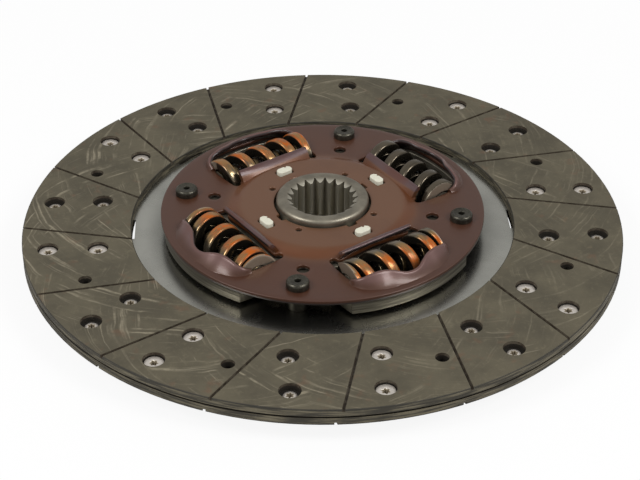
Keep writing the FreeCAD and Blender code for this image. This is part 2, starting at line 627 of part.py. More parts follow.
def friction_parts():
    """What rubs between the plates and the hub's flange, from front to rear."""
    inner, outer = "stack_inner", "stack_outer"
    washer = ring_of_washer("front_friction_washer",
                            [(inner, "washer_level"), (outer, "washer_level"),
                             (outer, "dish_level"), (inner, "dish_level")])
    tab = new_sketch(washer, "WasherTab", level="dish_level")
    polygon(tab, [("tab_ring - tab_half_width", "- tab_half_length"),
                  ("tab_ring + tab_half_width", "- tab_half_length"),
                  ("tab_ring + tab_half_width", "tab_half_length"),
                  ("tab_ring - tab_half_width", "tab_half_length")])
    spread(washer, pad(washer, tab, "plate_thickness + tab_stand"), "window_copies")
    ring_of_washer("cone_spring", [(inner, "control_top"), (outer, "washer_level - cone_thickness"),
                                   (outer, "washer_level"), (inner, "control_top + cone_thickness")])
    ring_of_washer("control_plate", [(inner, "control_level"), (outer, "control_level"),
                                     (outer, "control_top"), (inner, "control_top")])
    ring_of_washer("rear_thrust_washer",
                   [("bush_radius", "bush_top"), (outer, "bush_top"),
                    (outer, "flange_bottom - stack_play"), ("bush_radius", "flange_bottom - stack_play")])
    ring_of_washer("rear_bush",
                   [("boss_play_radius", "rear_dish_level - bush_length"),
                    ("bush_radius", "rear_dish_level - bush_length"), ("bush_radius", "rear_dish_level"),
                    (outer, "rear_dish_level"), (outer, "bush_top"), ("boss_play_radius", "bush_top")])


def facing_rivet():
    """One hollow rivet, head up, on its own axis."""
    low, grip = amount("- cushion_half"), amount("cushion_half + rivet_grip")
    top, tail = grip + amount("rivet_head_height"), low - amount("rivet_tail_height")
    corners = [("rivet_hole_radius", tail), ("tail_radius", tail), ("tail_radius", low),
               ("shank_radius", low), ("shank_radius", grip), ("head_radius", grip),
               ("head_radius", top), ("rivet_hole_radius", top)]
    points = [Vector(amount(r), 0, z) for r, z in corners]
    face = Part.Face(Part.makePolygon(points + points[:1]))
    return face.revolve(Vector(), Vector(0, 0, 1), 360)


def facing_rivets(label, turned_over):
    """The rivets that hold one facing to the paddles, as separate solids in one node."""
    single = facing_rivet()
    copies = []
    for paddle in range(int(amount("paddle_copies"))):
        for ring in ("inner_rivet", "outer_rivet"):
            angle = math.radians(paddle * 360 / amount("paddle_copies") - amount(ring + "_turn"))
            far = amount(ring + "_ring")
            copies.append(single.translated(Vector(far * math.cos(angle), far * math.sin(angle), 0)))
    group = doc.addObject("Part::Feature", label)
    group.Shape = Part.makeCompound(copies)
    place_facing_part(group, turned_over)


def coil_path(radius, height, turns, close_rise, hand):
    """Middle line of a coil with closed ends, drawn as a curve on a cylinder.

    The wire climbs by close_rise across the closed part of a turn at each end, and the rest of
    the height is shared out evenly between them. The hand is 1 for a right-handed coil, or -1.
    """
    closed = amount("coil_closed")
    stations = [(0, 0), (closed / 2, close_rise / 2), (closed, close_rise), (turns / 2, height / 2),
                (turns - closed, height - close_rise), (turns - closed / 2, height - close_rise / 2),
                (turns, height)]
    poles = [FreeCAD.Base.Vector2d(hand * 2 * math.pi * turn, level) for turn, level in stations]
    flat = Part.Geom2d.BSplineCurve2d()
    flat.buildFromPoles(poles, False, 2)
    tube = Part.Cylinder()
    tube.Radius = radius
    return Part.Wire(flat.toShape(tube))


def coil(kind, number, hand, start):
    """A spring with closed, ground ends, lying in its window along the tangent."""
    thick, length = amount(kind + "_wire"), amount("spring_length")
    radius = amount(kind + "_coil_diameter") / 2 - thick / 2
    foot = thick / 2 - thick * amount("coil_ground")
    close_rise = amount("coil_closed") * amount("coil_close_pitch") * thick
    path = coil_path(radius, length - 2 * foot, amount(kind + "_turns"), close_rise, hand)
    edge = path.Edges[0]
    begin, ahead = edge.valueAt(edge.FirstParameter), edge.tangentAt(edge.FirstParameter)
    wire = path.makePipeShell([Part.Wire(Part.makeCircle(thick / 2, begin, ahead))], True, False)
    side = 4 * radius
    room = Part.makeBox(side, side, length, Vector(-side / 2, -side / 2, -foot))
    feature = doc.addObject("Part::Feature", "%s_spring_%d" % (kind, number))
    feature.Shape = wire.common(room).Solids[0]
    lift = Placement(Vector(0, 0, foot - length / 2), Rotation())
    spin = Placement(Vector(), Rotation(Vector(0, 0, 1), start))
    seat = Vector(amount("spring_ring"), 0, amount("spring_level"))
    along = Placement(seat, Rotation(Vector(1, 0, 0), -90))
    angle = amount("window_angle") + (number - 1) * 360 / amount("window_copies")
    about = Placement(Vector(), Rotation(Vector(0, 0, 1), angle))
    feature.Placement = about.multiply(along).multiply(spin).multiply(lift)


def springs():
    """Four windows, each with an outer spring and an inner one wound the other way."""
    for number in range(1, int(amount("window_copies")) + 1):
        coil("outer", number, 1, amount("coil_start"))
        coil("inner", number, -1, 0)


def check_and_write():
    """Stop if anything in the document failed, then write each sub-part to its own file."""
    doc.recompute()
    for thing in doc.Objects:
        if "Invalid" in thing.State or "Error" in thing.State:
            raise RuntimeError(thing.Label + " failed")
    parts = [o for o in doc.Objects if o.TypeId in ("PartDesign::Body", "Part::Feature")]
    os.makedirs("parts", exist_ok=True)
    for part in parts:
        shape = part.Shape
        if shape.isNull() or not shape.isValid() or not shape.Solids:
            raise RuntimeError(part.Label + " has no valid solid")
    for part in parts:
        part.Shape.exportStep("parts/%s.step" % part.Label)
        print(part.Label, len(part.Shape.Solids), "solids", round(part.Shape.Volume, 1), "mm3")


fill_sheet()
facing("front_facing", False)
facing("rear_facing", True)
cushion_plate()
facing_rivets("front_facing_rivets", False)
facing_rivets("rear_facing_rivets", True)
retaining_plate()
disc_plate()
hub()
for pin in range(1, int(amount("window_copies")) + 1):
    stop_pin(pin)
friction_parts()
springs()
check_and_write()
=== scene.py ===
"""Clutch disc with a sprung hub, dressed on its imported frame.

Lengths in the shape functions are millimetres, as on a drawing; put() turns them into metres.
The hub's axis is Z, and a window's own axes are "out" (away from the hub's axis) and "along".
"""

import math

import bmesh
import bpy
import numpy as np
from bpy.props import FloatProperty, FloatVectorProperty, PointerProperty
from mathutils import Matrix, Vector, geometry


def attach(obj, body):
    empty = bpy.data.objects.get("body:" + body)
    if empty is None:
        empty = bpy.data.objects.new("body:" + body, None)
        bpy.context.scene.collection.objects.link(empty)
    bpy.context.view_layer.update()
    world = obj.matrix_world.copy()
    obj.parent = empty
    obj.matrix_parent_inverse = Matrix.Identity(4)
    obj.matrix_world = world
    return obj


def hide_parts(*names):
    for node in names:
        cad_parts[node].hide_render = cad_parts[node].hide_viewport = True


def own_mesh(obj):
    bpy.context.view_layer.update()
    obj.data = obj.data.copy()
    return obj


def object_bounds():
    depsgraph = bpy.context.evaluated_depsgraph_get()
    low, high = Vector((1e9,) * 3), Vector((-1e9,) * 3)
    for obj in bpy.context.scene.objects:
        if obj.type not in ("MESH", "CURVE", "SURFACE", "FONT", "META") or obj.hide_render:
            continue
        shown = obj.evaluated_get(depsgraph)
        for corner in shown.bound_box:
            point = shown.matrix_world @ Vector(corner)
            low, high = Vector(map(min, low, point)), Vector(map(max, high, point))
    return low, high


bl_info = {
    "name": "Clutch disc",
    "version": (1, 0, 0),
    "blender": (4, 5, 0),
    "location": "3D View > Sidebar > Clutch disc",
    "description": "Builds a sprung clutch disc: its pieces, finishes, stage and camera",
    "category": "Object",
}

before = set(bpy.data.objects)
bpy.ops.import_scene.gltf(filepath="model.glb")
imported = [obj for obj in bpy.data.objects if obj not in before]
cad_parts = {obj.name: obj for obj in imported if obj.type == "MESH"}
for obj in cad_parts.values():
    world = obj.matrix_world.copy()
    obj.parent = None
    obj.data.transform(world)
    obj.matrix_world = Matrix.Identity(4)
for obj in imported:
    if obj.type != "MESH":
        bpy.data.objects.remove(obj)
CAD_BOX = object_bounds()
FLOOR = CAD_BOX[0][2]
MM = 0.001

# Middles of the four spring windows and of the cushion plate's eight paddles, from +X
WINDOWS = np.radians(35.43 + 90.0 * np.arange(4))
PADDLES = np.radians(25.36 + 45.0 * np.arange(8))

# Radii from the hub's axis, and the plates' thickness
PLATE_RADIUS, PLATE_THICK = 67.4, 2.0
WINDOW_INNER, WINDOW_OUTER = 36.2, 61.2
PIN_RING, TOOL_RING, SPRING_RING = 58.16, 46.17, 46.9

# Heights over the cushion plate's middle: retaining plate, springs' axes, hub flange and boss
FRONT_SKIN, FRONT_TOP = 9.55, 11.95
SPRING_LEVEL, FLANGE_TOP = 5.0, 6.95
BOSS_REAR, BOSS_FRONT = -12.0, 14.55


# Sizes and colours that a user would change

def length(name, words, default):
    """A length in metres, given here in millimetres."""
    return FloatProperty(name=name, description=words, default=default * MM, min=0.0, unit="LENGTH",
                         precision=5)


def colour(name, words, red, green, blue):
    """A linear colour."""
    return FloatVectorProperty(name=name, description=words, default=(red, green, blue), size=3,
                               min=0.0, max=1.0, subtype="COLOR")


def power(name, words, default):
    """A lamp's power in watts."""
    return FloatProperty(name=name, description=words, default=default, min=0.0, unit="POWER")


class ClutchSizes(bpy.types.PropertyGroup):
    """Sizes of the pieces."""
    edge: length("Pressed edge", "Rounding of the pressed plates' edges", 0.35)
    boss_round: length("Boss rounding", "Rounding of the hub's front and rear rims", 1.7)
    outer_wire: length("Outer wire", "Thickness of the outer springs' wire", 4.5)
    inner_wire: length("Inner wire", "Thickness of the inner springs' wire", 2.2)
    outer_coil: length("Outer coil", "Outside of the outer springs", 19.4)
    inner_coil: length("Inner coil", "Outside of the inner springs", 9.6)
    pin_bevel: length("Pin bevel", "Rounding of the stop pins' upset heads", 0.9)
    paint_width: FloatProperty(name="Paint stripe", description="Half width of the springs' stripe",
                               default=math.radians(78), subtype="ANGLE", unit="ROTATION")


class ClutchColours(bpy.types.PropertyGroup):
    """Colours of the finishes."""
    lining: colour("Lining", "Ground surface of the friction facings", 0.084, 0.072, 0.046)
    yarn: colour("Yarn", "Pale yarns cut open by grinding", 0.31, 0.27, 0.19)
    plate: colour("Plate", "Heat-treated plates, outer part", 0.078, 0.028, 0.013)
    plate_middle: colour("Plate middle", "Heat-treated plates, raised middle", 0.140, 0.062, 0.029)
    plate_bend: colour("Plate bend", "Plates, slope round the raised middle", 0.125, 0.034, 0.005)
    steel: colour("Hub steel", "Machined forging", 0.285, 0.257, 0.202)
    cushion: colour("Cushion steel", "Rolled spring steel", 0.52, 0.515, 0.465)
    paint: colour("Spring paint", "Colour stripe along the springs", 0.44, 0.094, 0.006)
    wire: colour("Spring wire", "Oil-blackened spring wire", 0.050, 0.042, 0.031)
    tan: colour("Worn wire", "Oil-stained wire where the coils rub", 0.40, 0.27, 0.12)
    pin: colour("Pin steel", "Blackened stop pins", 0.038, 0.035, 0.027)
    rivet: colour("Rivet", "Plated facing rivets", 0.80, 0.74, 0.67)
    nylon: colour("Friction washer", "Cream plastic", 0.66, 0.645, 0.53)
    strip: colour("Strip steel", "Oiled strip of the inner washers", 0.26, 0.26, 0.25)


class ClutchStage(bpy.types.PropertyGroup):
    """Floor and light."""
    floor: colour("Floor", "Pale floor", 0.86, 0.86, 0.86)
    left: power("Left light", "Power of the light at the left", 6.3)
    right: power("Right light", "Power of the light at the right", 6.9)
    sky: FloatProperty(name="Sky", description="Brightness of the light from all round",
                       default=0.48, min=0.0, max=2.0)


# Shader maths

class Value:
    """An output that changes over a surface. Arithmetic on it adds Math nodes."""

    def __init__(self, recipe, socket):
        self.recipe, self.socket = recipe, socket

    def math(self, operation, *others):
        """A Math node fed by this value and the others."""
        return self.recipe.node("ShaderNodeMath", {"operation": operation},
                                dict(enumerate((self,) + others)))

    def __add__(self, other):
        return self.math("ADD", other)

    __radd__ = __add__

    def __sub__(self, other):
        return self.math("SUBTRACT", other)

    def __rsub__(self, other):
        return self * -1.0 + other

    def __mul__(self, other):
        return self.math("MULTIPLY", other)

    def __truediv__(self, other):
        return self.math("DIVIDE", other)

    def __pow__(self, other):
        return self.math("POWER", other)

    def step(self, low, high):
        """0 below low, 1 above high and a smooth rise between them."""
        return self.recipe.node("ShaderNodeMapRange", {"interpolation_type": "SMOOTHSTEP"},
                                {"Value": self, "From Min": low, "From Max": high})


class Recipe:
    """A material under construction round one Principled shader."""

    def __init__(self, name):
        self.material = bpy.data.materials.new(name)
        self.material.use_nodes = True
        self.tree = self.material.node_tree
        self.tree.nodes.clear()
        self.shader = self.tree.nodes.new("ShaderNodeBsdfPrincipled")
        output = self.tree.nodes.new("ShaderNodeOutputMaterial")
        self.tree.links.new(self.shader.outputs[0], output.inputs[0])

    def node(self, kind, settings=None, sockets=None, output=0):
        """Add a node: its settings first, then its sockets' values or links."""
        made = self.tree.nodes.new(kind)
        for key, value in (settings or {}).items():
            setattr(made, key, value)
        for key, value in (sockets or {}).items():
            self.feed(made.inputs[key], value)
        return Value(self, made.outputs[output])

    def feed(self, socket, value):
        """Link a Value to a socket, or set a number or a colour on it."""
        if isinstance(value, Value):
            self.tree.links.new(value.socket, socket)
        elif hasattr(value, "__len__"):
            alpha = (1.0,) * (len(socket.default_value) - len(value))
            socket.default_value = tuple(value) + alpha
        else:
            socket.default_value = value

    def surface(self, **sockets):
        """Set the shader's own sockets, with a space written as an underscore."""
        for key, value in sockets.items():
            self.feed(self.shader.inputs[key.replace("_", " ")], value)

    def mix(self, share, first, second):
        """Blend two colours by a share."""
        return self.node("ShaderNodeMix", {"data_type": "RGBA"}, {0: share, 6: first, 7: second}, 2)

    def shades(self, share, hue, low, high):
        """One colour, from low times its brightness at share 0 to high times at share 1."""
        return self.mix(share, times(hue, low), times(hue, high))

    def place(self):
        """A point of the piece, and its x, y and z, in metres."""
        spot = self.node("ShaderNodeTexCoord", output=3)
        split = self.node("ShaderNodeSeparateXYZ", sockets={0: spot}).socket.node
        return spot, [Value(self, part) for part in split.outputs]

    def vector(self, x, y, z):
        """Three values as a vector."""
        return self.node("ShaderNodeCombineXYZ", sockets={0: x, 1: y, 2: z})

    def noise(self, spot, scale, detail=3.0, roughness=0.55):
        """Noise round 0.5, with about scale waves to a metre."""
        return self.node("ShaderNodeTexNoise", sockets={
            "Vector": spot, "Scale": scale, "Detail": detail, "Roughness": roughness})

    def bump(self, height, strength, distance):
        """A normal tipped by a height map; strength and distance are plain numbers."""
        return self.node("ShaderNodeBump", sockets={
            "Height": height, "Strength": strength, "Distance": distance})

    def attribute(self, name, output=2):
        """A number that the mesh carries, or with output 1 a vector."""
        return self.node("ShaderNodeAttribute", {"attribute_name": name}, output=output)


def times(hue, factor):
    """A colour at some other brightness."""
    return [part * factor for part in hue]


# Finishes. Radii and heights in them are metres.

def lining_finish():
    """Wound friction lining, ground flat.

    The yarn winds to and fro between the rims as it goes round, so that it runs along both rims and
    crosses itself half way. The angle of a yarn is the point's angle plus or minus
    petal asin((r - middle) / reach), and noise drawn out along that line gives the streaks.
    """
    c = bpy.context.scene.clutch_colours
    middle, reach, most, petal = 0.1025, 0.0246, 0.985, 0.34
    recipe = Recipe("wound friction lining")
    spot, (x, y, z) = recipe.place()
    radius = (x * x + y * y) ** 0.5
    angle = y.math("ARCTAN2", x)

    def drawn_out(turn, scale, across, detail):
        """Noise that is long in the direction in which only turn changes."""
        line = recipe.vector(turn.math("COSINE") * scale, turn.math("SINE") * scale, across)
        return recipe.noise(line, 1.0, detail)

    wander = recipe.noise(spot, 60.0, 2.0) - 0.5
    bend = ((radius - middle) / reach).math("MINIMUM", most).math("MAXIMUM", -most).math("ARCSINE")
    region = recipe.noise(spot, 42.0, 1.0, 0.4)
    streaks = []
    for way, seed, there in ((1.0, 0.0, region.step(0.46, 0.52)),
                             (-1.0, 7.3, region.step(0.54, 0.48))):
        phase = angle + bend * (way * petal) + wander * 0.07
        line = drawn_out(phase, 34.0, radius * 40.0 + seed, 3.0)
        patch = drawn_out(phase, 12.0, radius * 60.0 + seed, 1.0)
        streaks.append(line.step(0.52, 0.71) * patch.step(0.38, 0.56) * there)
    broken = recipe.noise(spot, 120.0, 3.0, 0.6).step(0.30, 0.56)
    calm = (recipe.noise(spot, 11.0, 2.0) + x * 1.1).step(0.45, 0.60) * 0.65
    yarns = streaks[0].math("MAXIMUM", streaks[1]) * broken * (1.0 - calm)

    # The ground face
    cloud = recipe.noise(spot, 55.0, 4.0, 0.6)
    grain = recipe.noise(spot, 1100.0, 3.0, 0.65)
    fleck = recipe.noise(spot, 420.0, 3.0, 0.7)
    rust = recipe.noise(spot, 130.0, 2.0).step(0.60, 0.78)
    rusty = (c.lining[0] * 1.7, c.lining[1] * 0.95, c.lining[2] * 0.8)
    face = recipe.shades(cloud.step(0.3, 0.7), c.lining, 0.80, 1.18)
    face = recipe.mix(rust * 0.35, face, rusty)
    face = recipe.mix(fleck.step(0.52, 0.75) * 0.3, face, times(c.lining, 2.0))
    face = recipe.mix(yarns * (grain * 0.8 + fleck * 0.7 - 0.05), face, c.yarn)

    # The rims, where the strands lie in layers
    strand = drawn_out(angle, 9.0, z * 1400.0, 4.0)
    wall = recipe.shades(strand.step(0.43, 0.62), c.lining, 0.38, 1.55)
    frayed = strand.step(0.60, 0.72) * cloud.step(0.50, 0.62)
    wall = recipe.mix(frayed * 0.5, wall, c.yarn)

    # Dust in the grooves and wells; painted shade makes the wells' floors near black, and a painted
    # shade line runs along the top of the rims
    level = z.math("ABSOLUTE")
    edge = (radius - middle).math("ABSOLUTE")
    below = level.step(0.00360, 0.00335)
    speckle = recipe.noise(spot, 300.0, 3.0).step(0.4, 0.65)
    dust = recipe.mix(speckle, (0.050, 0.036, 0.024), (0.115, 0.095, 0.068))
    # Painted shade: below 2.42 mm the wells turn near black
    deep = recipe.mix(level.step(0.00242, 0.00236), dust, (0.021, 0.017, 0.012))
    base = recipe.mix(below, face, deep)
    base = recipe.mix(below * edge.step(0.02236, 0.02240), base, wall)
    # Painted shade: a near-black line along the top of the rims
    line = edge.step(0.02205, 0.02240) * level.step(0.00285, 0.00325)
    base = recipe.mix(line * 0.85, base, (0.018, 0.016, 0.011))
    relief = yarns * -0.6 + grain * 0.35 + cloud * 0.5 + fleck * 0.3
    recipe.surface(Base_Color=base, Roughness=0.64 - yarns * 0.16 + grain * 0.1,
                   Normal=recipe.bump(relief, 0.6, 0.00025), Specular_IOR_Level=0.4)
    return recipe.material


def cushion_finish():
    """Rolled spring steel with fine scratches round the axis, and painted shade towards the plates.

    Under the facings it is painted nearly black, as painted shade, so that no light shows between
    them.
    """
    c = bpy.context.scene.clutch_colours
    recipe = Recipe("rolled spring steel")
    spot, (x, y, _) = recipe.place()
    radius = (x * x + y * y) ** 0.5
    scratches = recipe.noise(recipe.vector(radius * 900.0, x * 9.0, y * 9.0), 1.0, 4.0, 0.7)
    cloud = recipe.noise(spot, 32.0, 4.0)
    stain = recipe.noise(spot, 110.0, 5.0, 0.7).step(0.55, 0.75)
    # Painted shade: the steel turns darker towards the plates, where their shade falls
    shade_near_plates = 1.0 - radius.step(0.0650, 0.0760)
    # Painted shade: near black under the facings, so that no light shows between them
    hidden = radius.step(0.0798, 0.0806)
    base = recipe.shades(cloud.step(0.3, 0.7), c.cushion, 0.86, 1.1)
    base = recipe.mix(stain * 0.12, base, (0.24, 0.22, 0.18))
    base = recipe.mix(shade_near_plates * 0.5, base, (0.10, 0.10, 0.088))
    base = recipe.mix(hidden, base, (0.022, 0.019, 0.015))
    recipe.surface(Base_Color=base, Metallic=1.0 - hidden * 0.7,
                   Roughness=0.23 + cloud * 0.08 + stain * 0.05 + hidden * 0.4,
                   Normal=recipe.bump(scratches, 0.03, 0.0001))
    return recipe.material


def plate_finish():
    """Case-hardened plate: maroon temper colour that turns violet outwards and amber on the slope.

    The outer lips are paler towards their rims, a painted highlight, and the inner lips are darker
    with patches of painted violet sheen. The mesh's "under" is 1 on the side that faces the
    springs, which is painted near black as painted shade.
    """
    c = bpy.context.scene.clutch_colours
    recipe = Recipe("heat-treated maroon plate")
    spot, (x, y, z) = recipe.place()
    radius = (x * x + y * y) ** 0.5
    cloud = recipe.noise(spot, 26.0, 5.0, 0.6)
    fine = recipe.noise(spot, 900.0, 3.0, 0.6)
    spread = radius + (cloud - 0.5) * 0.005
    base = recipe.mix(spread.step(0.0345, 0.0440), c.plate_middle, c.plate)
    slope = spread.step(0.0325, 0.0362) * (1.0 - spread.step(0.0372, 0.0405))
    base = recipe.mix(slope * (1.0 - z.step(0.0118, 0.0125)) * 0.75, base, c.plate_bend)
    violet = spread.step(0.0500, 0.0660) * 0.5 + cloud.step(0.52, 0.72) * 0.25
    base = recipe.mix(violet, base, (c.plate[0] * 0.86, c.plate[1], c.plate[2] * 1.35))
    # Painted highlight: the outer lips turn pale pink towards their rims
    painted_lip_highlight = z.step(0.0100, 0.0130) * radius.step(0.046, 0.052)
    base = recipe.mix(painted_lip_highlight * 0.5, base, (0.19, 0.105, 0.100))
    # The inner lips are darker, with patches of painted violet sheen
    inner_lip_sheen = z.step(0.0121, 0.0128) * radius.step(0.042, 0.040)
    sheen_patches = recipe.noise(spot, 45.0, 2.0).step(0.42, 0.58)
    sheen_tint = recipe.mix(sheen_patches, (0.085, 0.028, 0.026), (0.082, 0.050, 0.060))
    base = recipe.mix(inner_lip_sheen * 0.7, base, sheen_tint)
    base = recipe.mix(fine.step(0.55, 0.8) * 0.22, base, times(c.plate, 1.8))
    # Painted shade: the side that faces the springs is near black
    under = recipe.attribute("under")
    base = recipe.mix(under.step(0.3, 0.9) * 0.85, base, (0.014, 0.010, 0.010))
    recipe.surface(Base_Color=base, Metallic=0.30, Roughness=0.30 + cloud * 0.14 + fine * 0.08,
                   Coat_Weight=0.30, Coat_Roughness=0.18,
                   Normal=recipe.bump(fine * 0.4 + recipe.noise(spot, 160.0, 3.0), 0.12, 0.0003))
    return recipe.material


def steel_finish(name, shade, roughness, scale):
    """Machined or rolled steel: cloudy oil film, tool marks scale to a metre, and pits.

    On the hub, the spline's bore is painted bright as a painted highlight, and the flange's rim is
    painted darker than the rest as painted shade.
    """
    recipe = Recipe(name)
    spot, (x, y, z) = recipe.place()
    radius = (x * x + y * y) ** 0.5
    cloud = recipe.noise(spot, 120.0, 4.0, 0.6)
    marks = recipe.noise(recipe.vector(radius * scale, z * scale, x * 40.0), 1.0, 3.0, 0.65)
    pits = recipe.noise(spot, 1100.0, 3.0, 0.6)
    base = recipe.shades(cloud.step(0.3, 0.7), shade, 0.72, 1.12)
    base = recipe.mix(pits.step(0.56, 0.78) * 0.4, base, times(shade, 0.5))
    # Painted highlight: the spline's bore is pale, standing in for light reflected by the teeth
    bore = 1.0 - radius.step(0.0136, 0.0150)
    base = recipe.mix(bore * 0.6, base, (0.55, 0.52, 0.43))
    # Painted shade: the flange's rim is darker, over its real tool marks
    rim = recipe.mix(marks.step(0.3, 0.7), (0.080, 0.072, 0.056), (0.225, 0.205, 0.162))
    base = recipe.mix(radius.step(0.0655, 0.0664), base, rim)
    recipe.surface(Base_Color=base, Metallic=0.88, Roughness=roughness + cloud * 0.16,
                   Normal=recipe.bump(marks * 0.5 + pits * 0.5, 0.22, 0.0002))
    return recipe.material


def spring_finish(name, cover, wear):
    """Oil-blackened wire, tan where the coils rub, with a paint stripe along one side.

    The mesh's "stripe" runs from 0 away from the stripe to 1 on its middle line, "rub" is 1 on the
    outside of the coils, "cut" is 1 on the ground ends, and "wire" follows the wire.
    """
    c = bpy.context.scene.clutch_colours
    recipe = Recipe(name)
    spot = recipe.place()[0]
    stripe, rub, cut = (recipe.attribute(key) for key in ("stripe", "rub", "cut"))
    drawn = recipe.noise(recipe.attribute("wire", 1), 900.0, 3.0, 0.6)
    cloud = recipe.noise(spot, 150.0, 4.0, 0.6)
    fine = recipe.noise(spot, 1500.0, 3.0, 0.65)
    stained = stripe.step(0.0, 0.2) * drawn.step(0.35, 0.55)
    worn = recipe.mix(stained, (0.26, 0.215, 0.155), c.tan)
    rubbed = rub.step(0.40, 0.85) * (drawn.step(0.30, 0.62) * 0.55 + 0.45) * wear
    bare = recipe.mix(rubbed, c.wire, worn)
    ragged = stripe + (cloud - 0.5) * 0.5 + (drawn - 0.5) * 0.3
    gone = (drawn * 0.6 + cloud * 0.6).step(0.53, 0.66) * rub.step(0.2, 0.9)
    paint = ragged.step(0.10, 0.42) * rub.step(0.35, 0.72) * cover * (1.0 - gone * wear * 0.8)
    faded = [part * 0.66 + under * 0.12 for part, under in zip(c.paint, c.tan)]
    base = recipe.mix(paint, bare, recipe.mix(cloud.step(0.35, 0.68), c.paint, faded))
    base = recipe.mix(cut * 0.9, base, (0.42, 0.37, 0.29))
    recipe.surface(Base_Color=base, Metallic=0.85 - paint * 0.75, Specular_IOR_Level=0.2,
                   Roughness=0.17 + cloud * 0.10 + cut * 0.2 + paint * 0.12,
                   Normal=recipe.bump(paint * 0.5 + fine * 0.2 + drawn * 0.3, 0.22, 0.0001))
    return recipe.material


def pin_finish():
    """Blackened steel, paler on top of the upset head. The mesh's "sunk" is 1 in the dimple, which
    is painted near black as painted shade.
    """
    c = bpy.context.scene.clutch_colours
    recipe = Recipe("blackened pin steel")
    spot, (_, _, z) = recipe.place()
    cloud = recipe.noise(spot, 260.0, 4.0, 0.65)
    fine = recipe.noise(spot, 1600.0, 3.0, 0.6)
    base = recipe.shades(cloud.step(0.35, 0.68), c.pin, 1.0, 2.0)
    top = z.step(0.0114, 0.0122) * fine.step(0.40, 0.62)
    base = recipe.mix(top * 0.3, base, (0.15, 0.14, 0.11))
    # Painted shade: the dimple is near black
    base = recipe.mix(recipe.attribute("sunk"), base, (0.008, 0.007, 0.006))
    recipe.surface(Base_Color=base, Metallic=0.8, Roughness=0.30 + cloud * 0.14,
                   Normal=recipe.bump(fine, 0.3, 0.00015))
    return recipe.material


def rivet_finish():
    """Bright plating with a trace of brake dust. The mesh's "hollow" is 1 in the dull mouth."""
    c = bpy.context.scene.clutch_colours
    recipe = Recipe("plated rivet")
    spot = recipe.place()[0]
    cloud = recipe.noise(spot, 420.0, 4.0, 0.6)
    base = recipe.shades(cloud.step(0.45, 0.75) * 0.5, c.rivet, 1.0, 0.55)
    hollow = recipe.attribute("hollow").step(0.35, 0.65)
    base = recipe.mix(hollow * 0.93, base, (0.30, 0.25, 0.17))
    recipe.surface(Base_Color=base, Metallic=0.74 - hollow * 0.44,
                   Roughness=0.26 + cloud * 0.15 + hollow * 0.2,
                   Normal=recipe.bump(recipe.noise(spot, 1500.0), 0.15, 0.0001))
    return recipe.material


def nylon_finish():
    """Cream moulded plastic, a little oily."""
    c = bpy.context.scene.clutch_colours
    recipe = Recipe("cream moulded plastic")
    spot = recipe.place()[0]
    cloud = recipe.noise(spot, 340.0, 4.0, 0.6)
    base = recipe.mix(cloud.step(0.5, 0.78) * 0.35, c.nylon, (0.56, 0.50, 0.36))
    recipe.surface(Base_Color=base, Roughness=0.42 + cloud * 0.15,
                   Normal=recipe.bump(recipe.noise(spot, 1300.0), 0.15, 0.0001))
    return recipe.material


def floor_finish(shade):
    """A pale floor that the camera sees almost white, with the disc's shadow left on it.

    Under the disc's middle it stays plain, so that no white shines up through the windows.
    """
    recipe = Recipe("pale floor")
    recipe.surface(Base_Color=shade, Roughness=0.9, Specular_IOR_Level=0.1)
    x, y, _ = recipe.place()[1]
    beside = ((x * x + y * y) ** 0.5).step(0.068, 0.076)
    seen = recipe.node("ShaderNodeLightPath") * beside * 0.9
    white = recipe.node("ShaderNodeEmission", sockets={"Color": (1.0, 1.0, 1.0), "Strength": 1.0})
    plain = Value(recipe, recipe.shader.outputs[0])
    both = recipe.node("ShaderNodeMixShader", sockets={0: seen, 1: plain, 2: white})
    output = next(n for n in recipe.tree.nodes if n.bl_idname == "ShaderNodeOutputMaterial")
    recipe.feed(output.inputs[0], both)
    return recipe.material


# Surfaces

def grid_faces(rows, columns, loop_rows, loop_columns):
    """Quads of a grid of points, row by row; a looped direction joins its end to its start."""
    i, j = np.meshgrid(np.arange(rows - (not loop_rows)), np.arange(columns - (not loop_columns)),
                       indexing="ij")
    i, j = i.ravel(), j.ravel()
    down, right = (i + 1) % rows, (j + 1) % columns
    corners = (i * columns + j, down * columns + j, down * columns + right, i * columns + right)
    return np.stack(corners, 1)


def turned(profile, steps, closed=True):
    """A profile (radius, height), drawn anticlockwise, turned about Z: (r cos a, r sin a, z)."""
    angle = np.linspace(0, 2 * np.pi, steps, endpoint=False)[:, None]
    radius, height = profile[:, 0][None], profile[:, 1][None]
    points = np.stack([radius * np.cos(angle), radius * np.sin(angle), height + 0 * angle], -1)
    return points.reshape(-1, 3), grid_faces(steps, len(profile), True, closed)


def rounded(corners, radii, steps=5):
    """A closed outline whose corner C becomes the curve (1-s)^2 A + 2s(1-s) C + s^2 B.

    A and B lie on the two edges, one radius from the corner and at most half an edge away. A point
    that lies within least of the one before it is left out.
    """
    least = 0.02
    corners = np.array(corners, float)
    radii = np.broadcast_to(np.array(radii, float), len(corners))
    s = np.linspace(0, 1, steps)[None, :, None]
    ends = []
    for way in (1, -1):
        side = np.roll(corners, way, 0) - corners
        size = np.linalg.norm(side, axis=1)
        reach = np.minimum(radii, size * 0.499)[:, None]
        ends.append((corners + side / size[:, None] * reach)[:, None])
    curve = (1 - s) ** 2 * ends[0] + 2 * s * (1 - s) * corners[:, None] + s ** 2 * ends[1]
    curve = curve.reshape(-1, 2)
    return curve[np.linalg.norm(curve - np.roll(curve, 1, 0), axis=1) > least]


def circle(radius, count, ring=0.0, turn=0.0):
    """Points of a circle whose middle lies on a ring round the origin, at an angle."""
    angle = np.linspace(0, 2 * np.pi, count, endpoint=False)
    x, y = ring * math.cos(turn), ring * math.sin(turn)
    return np.stack([x + radius * np.cos(angle), y + radius * np.sin(angle)], 1)


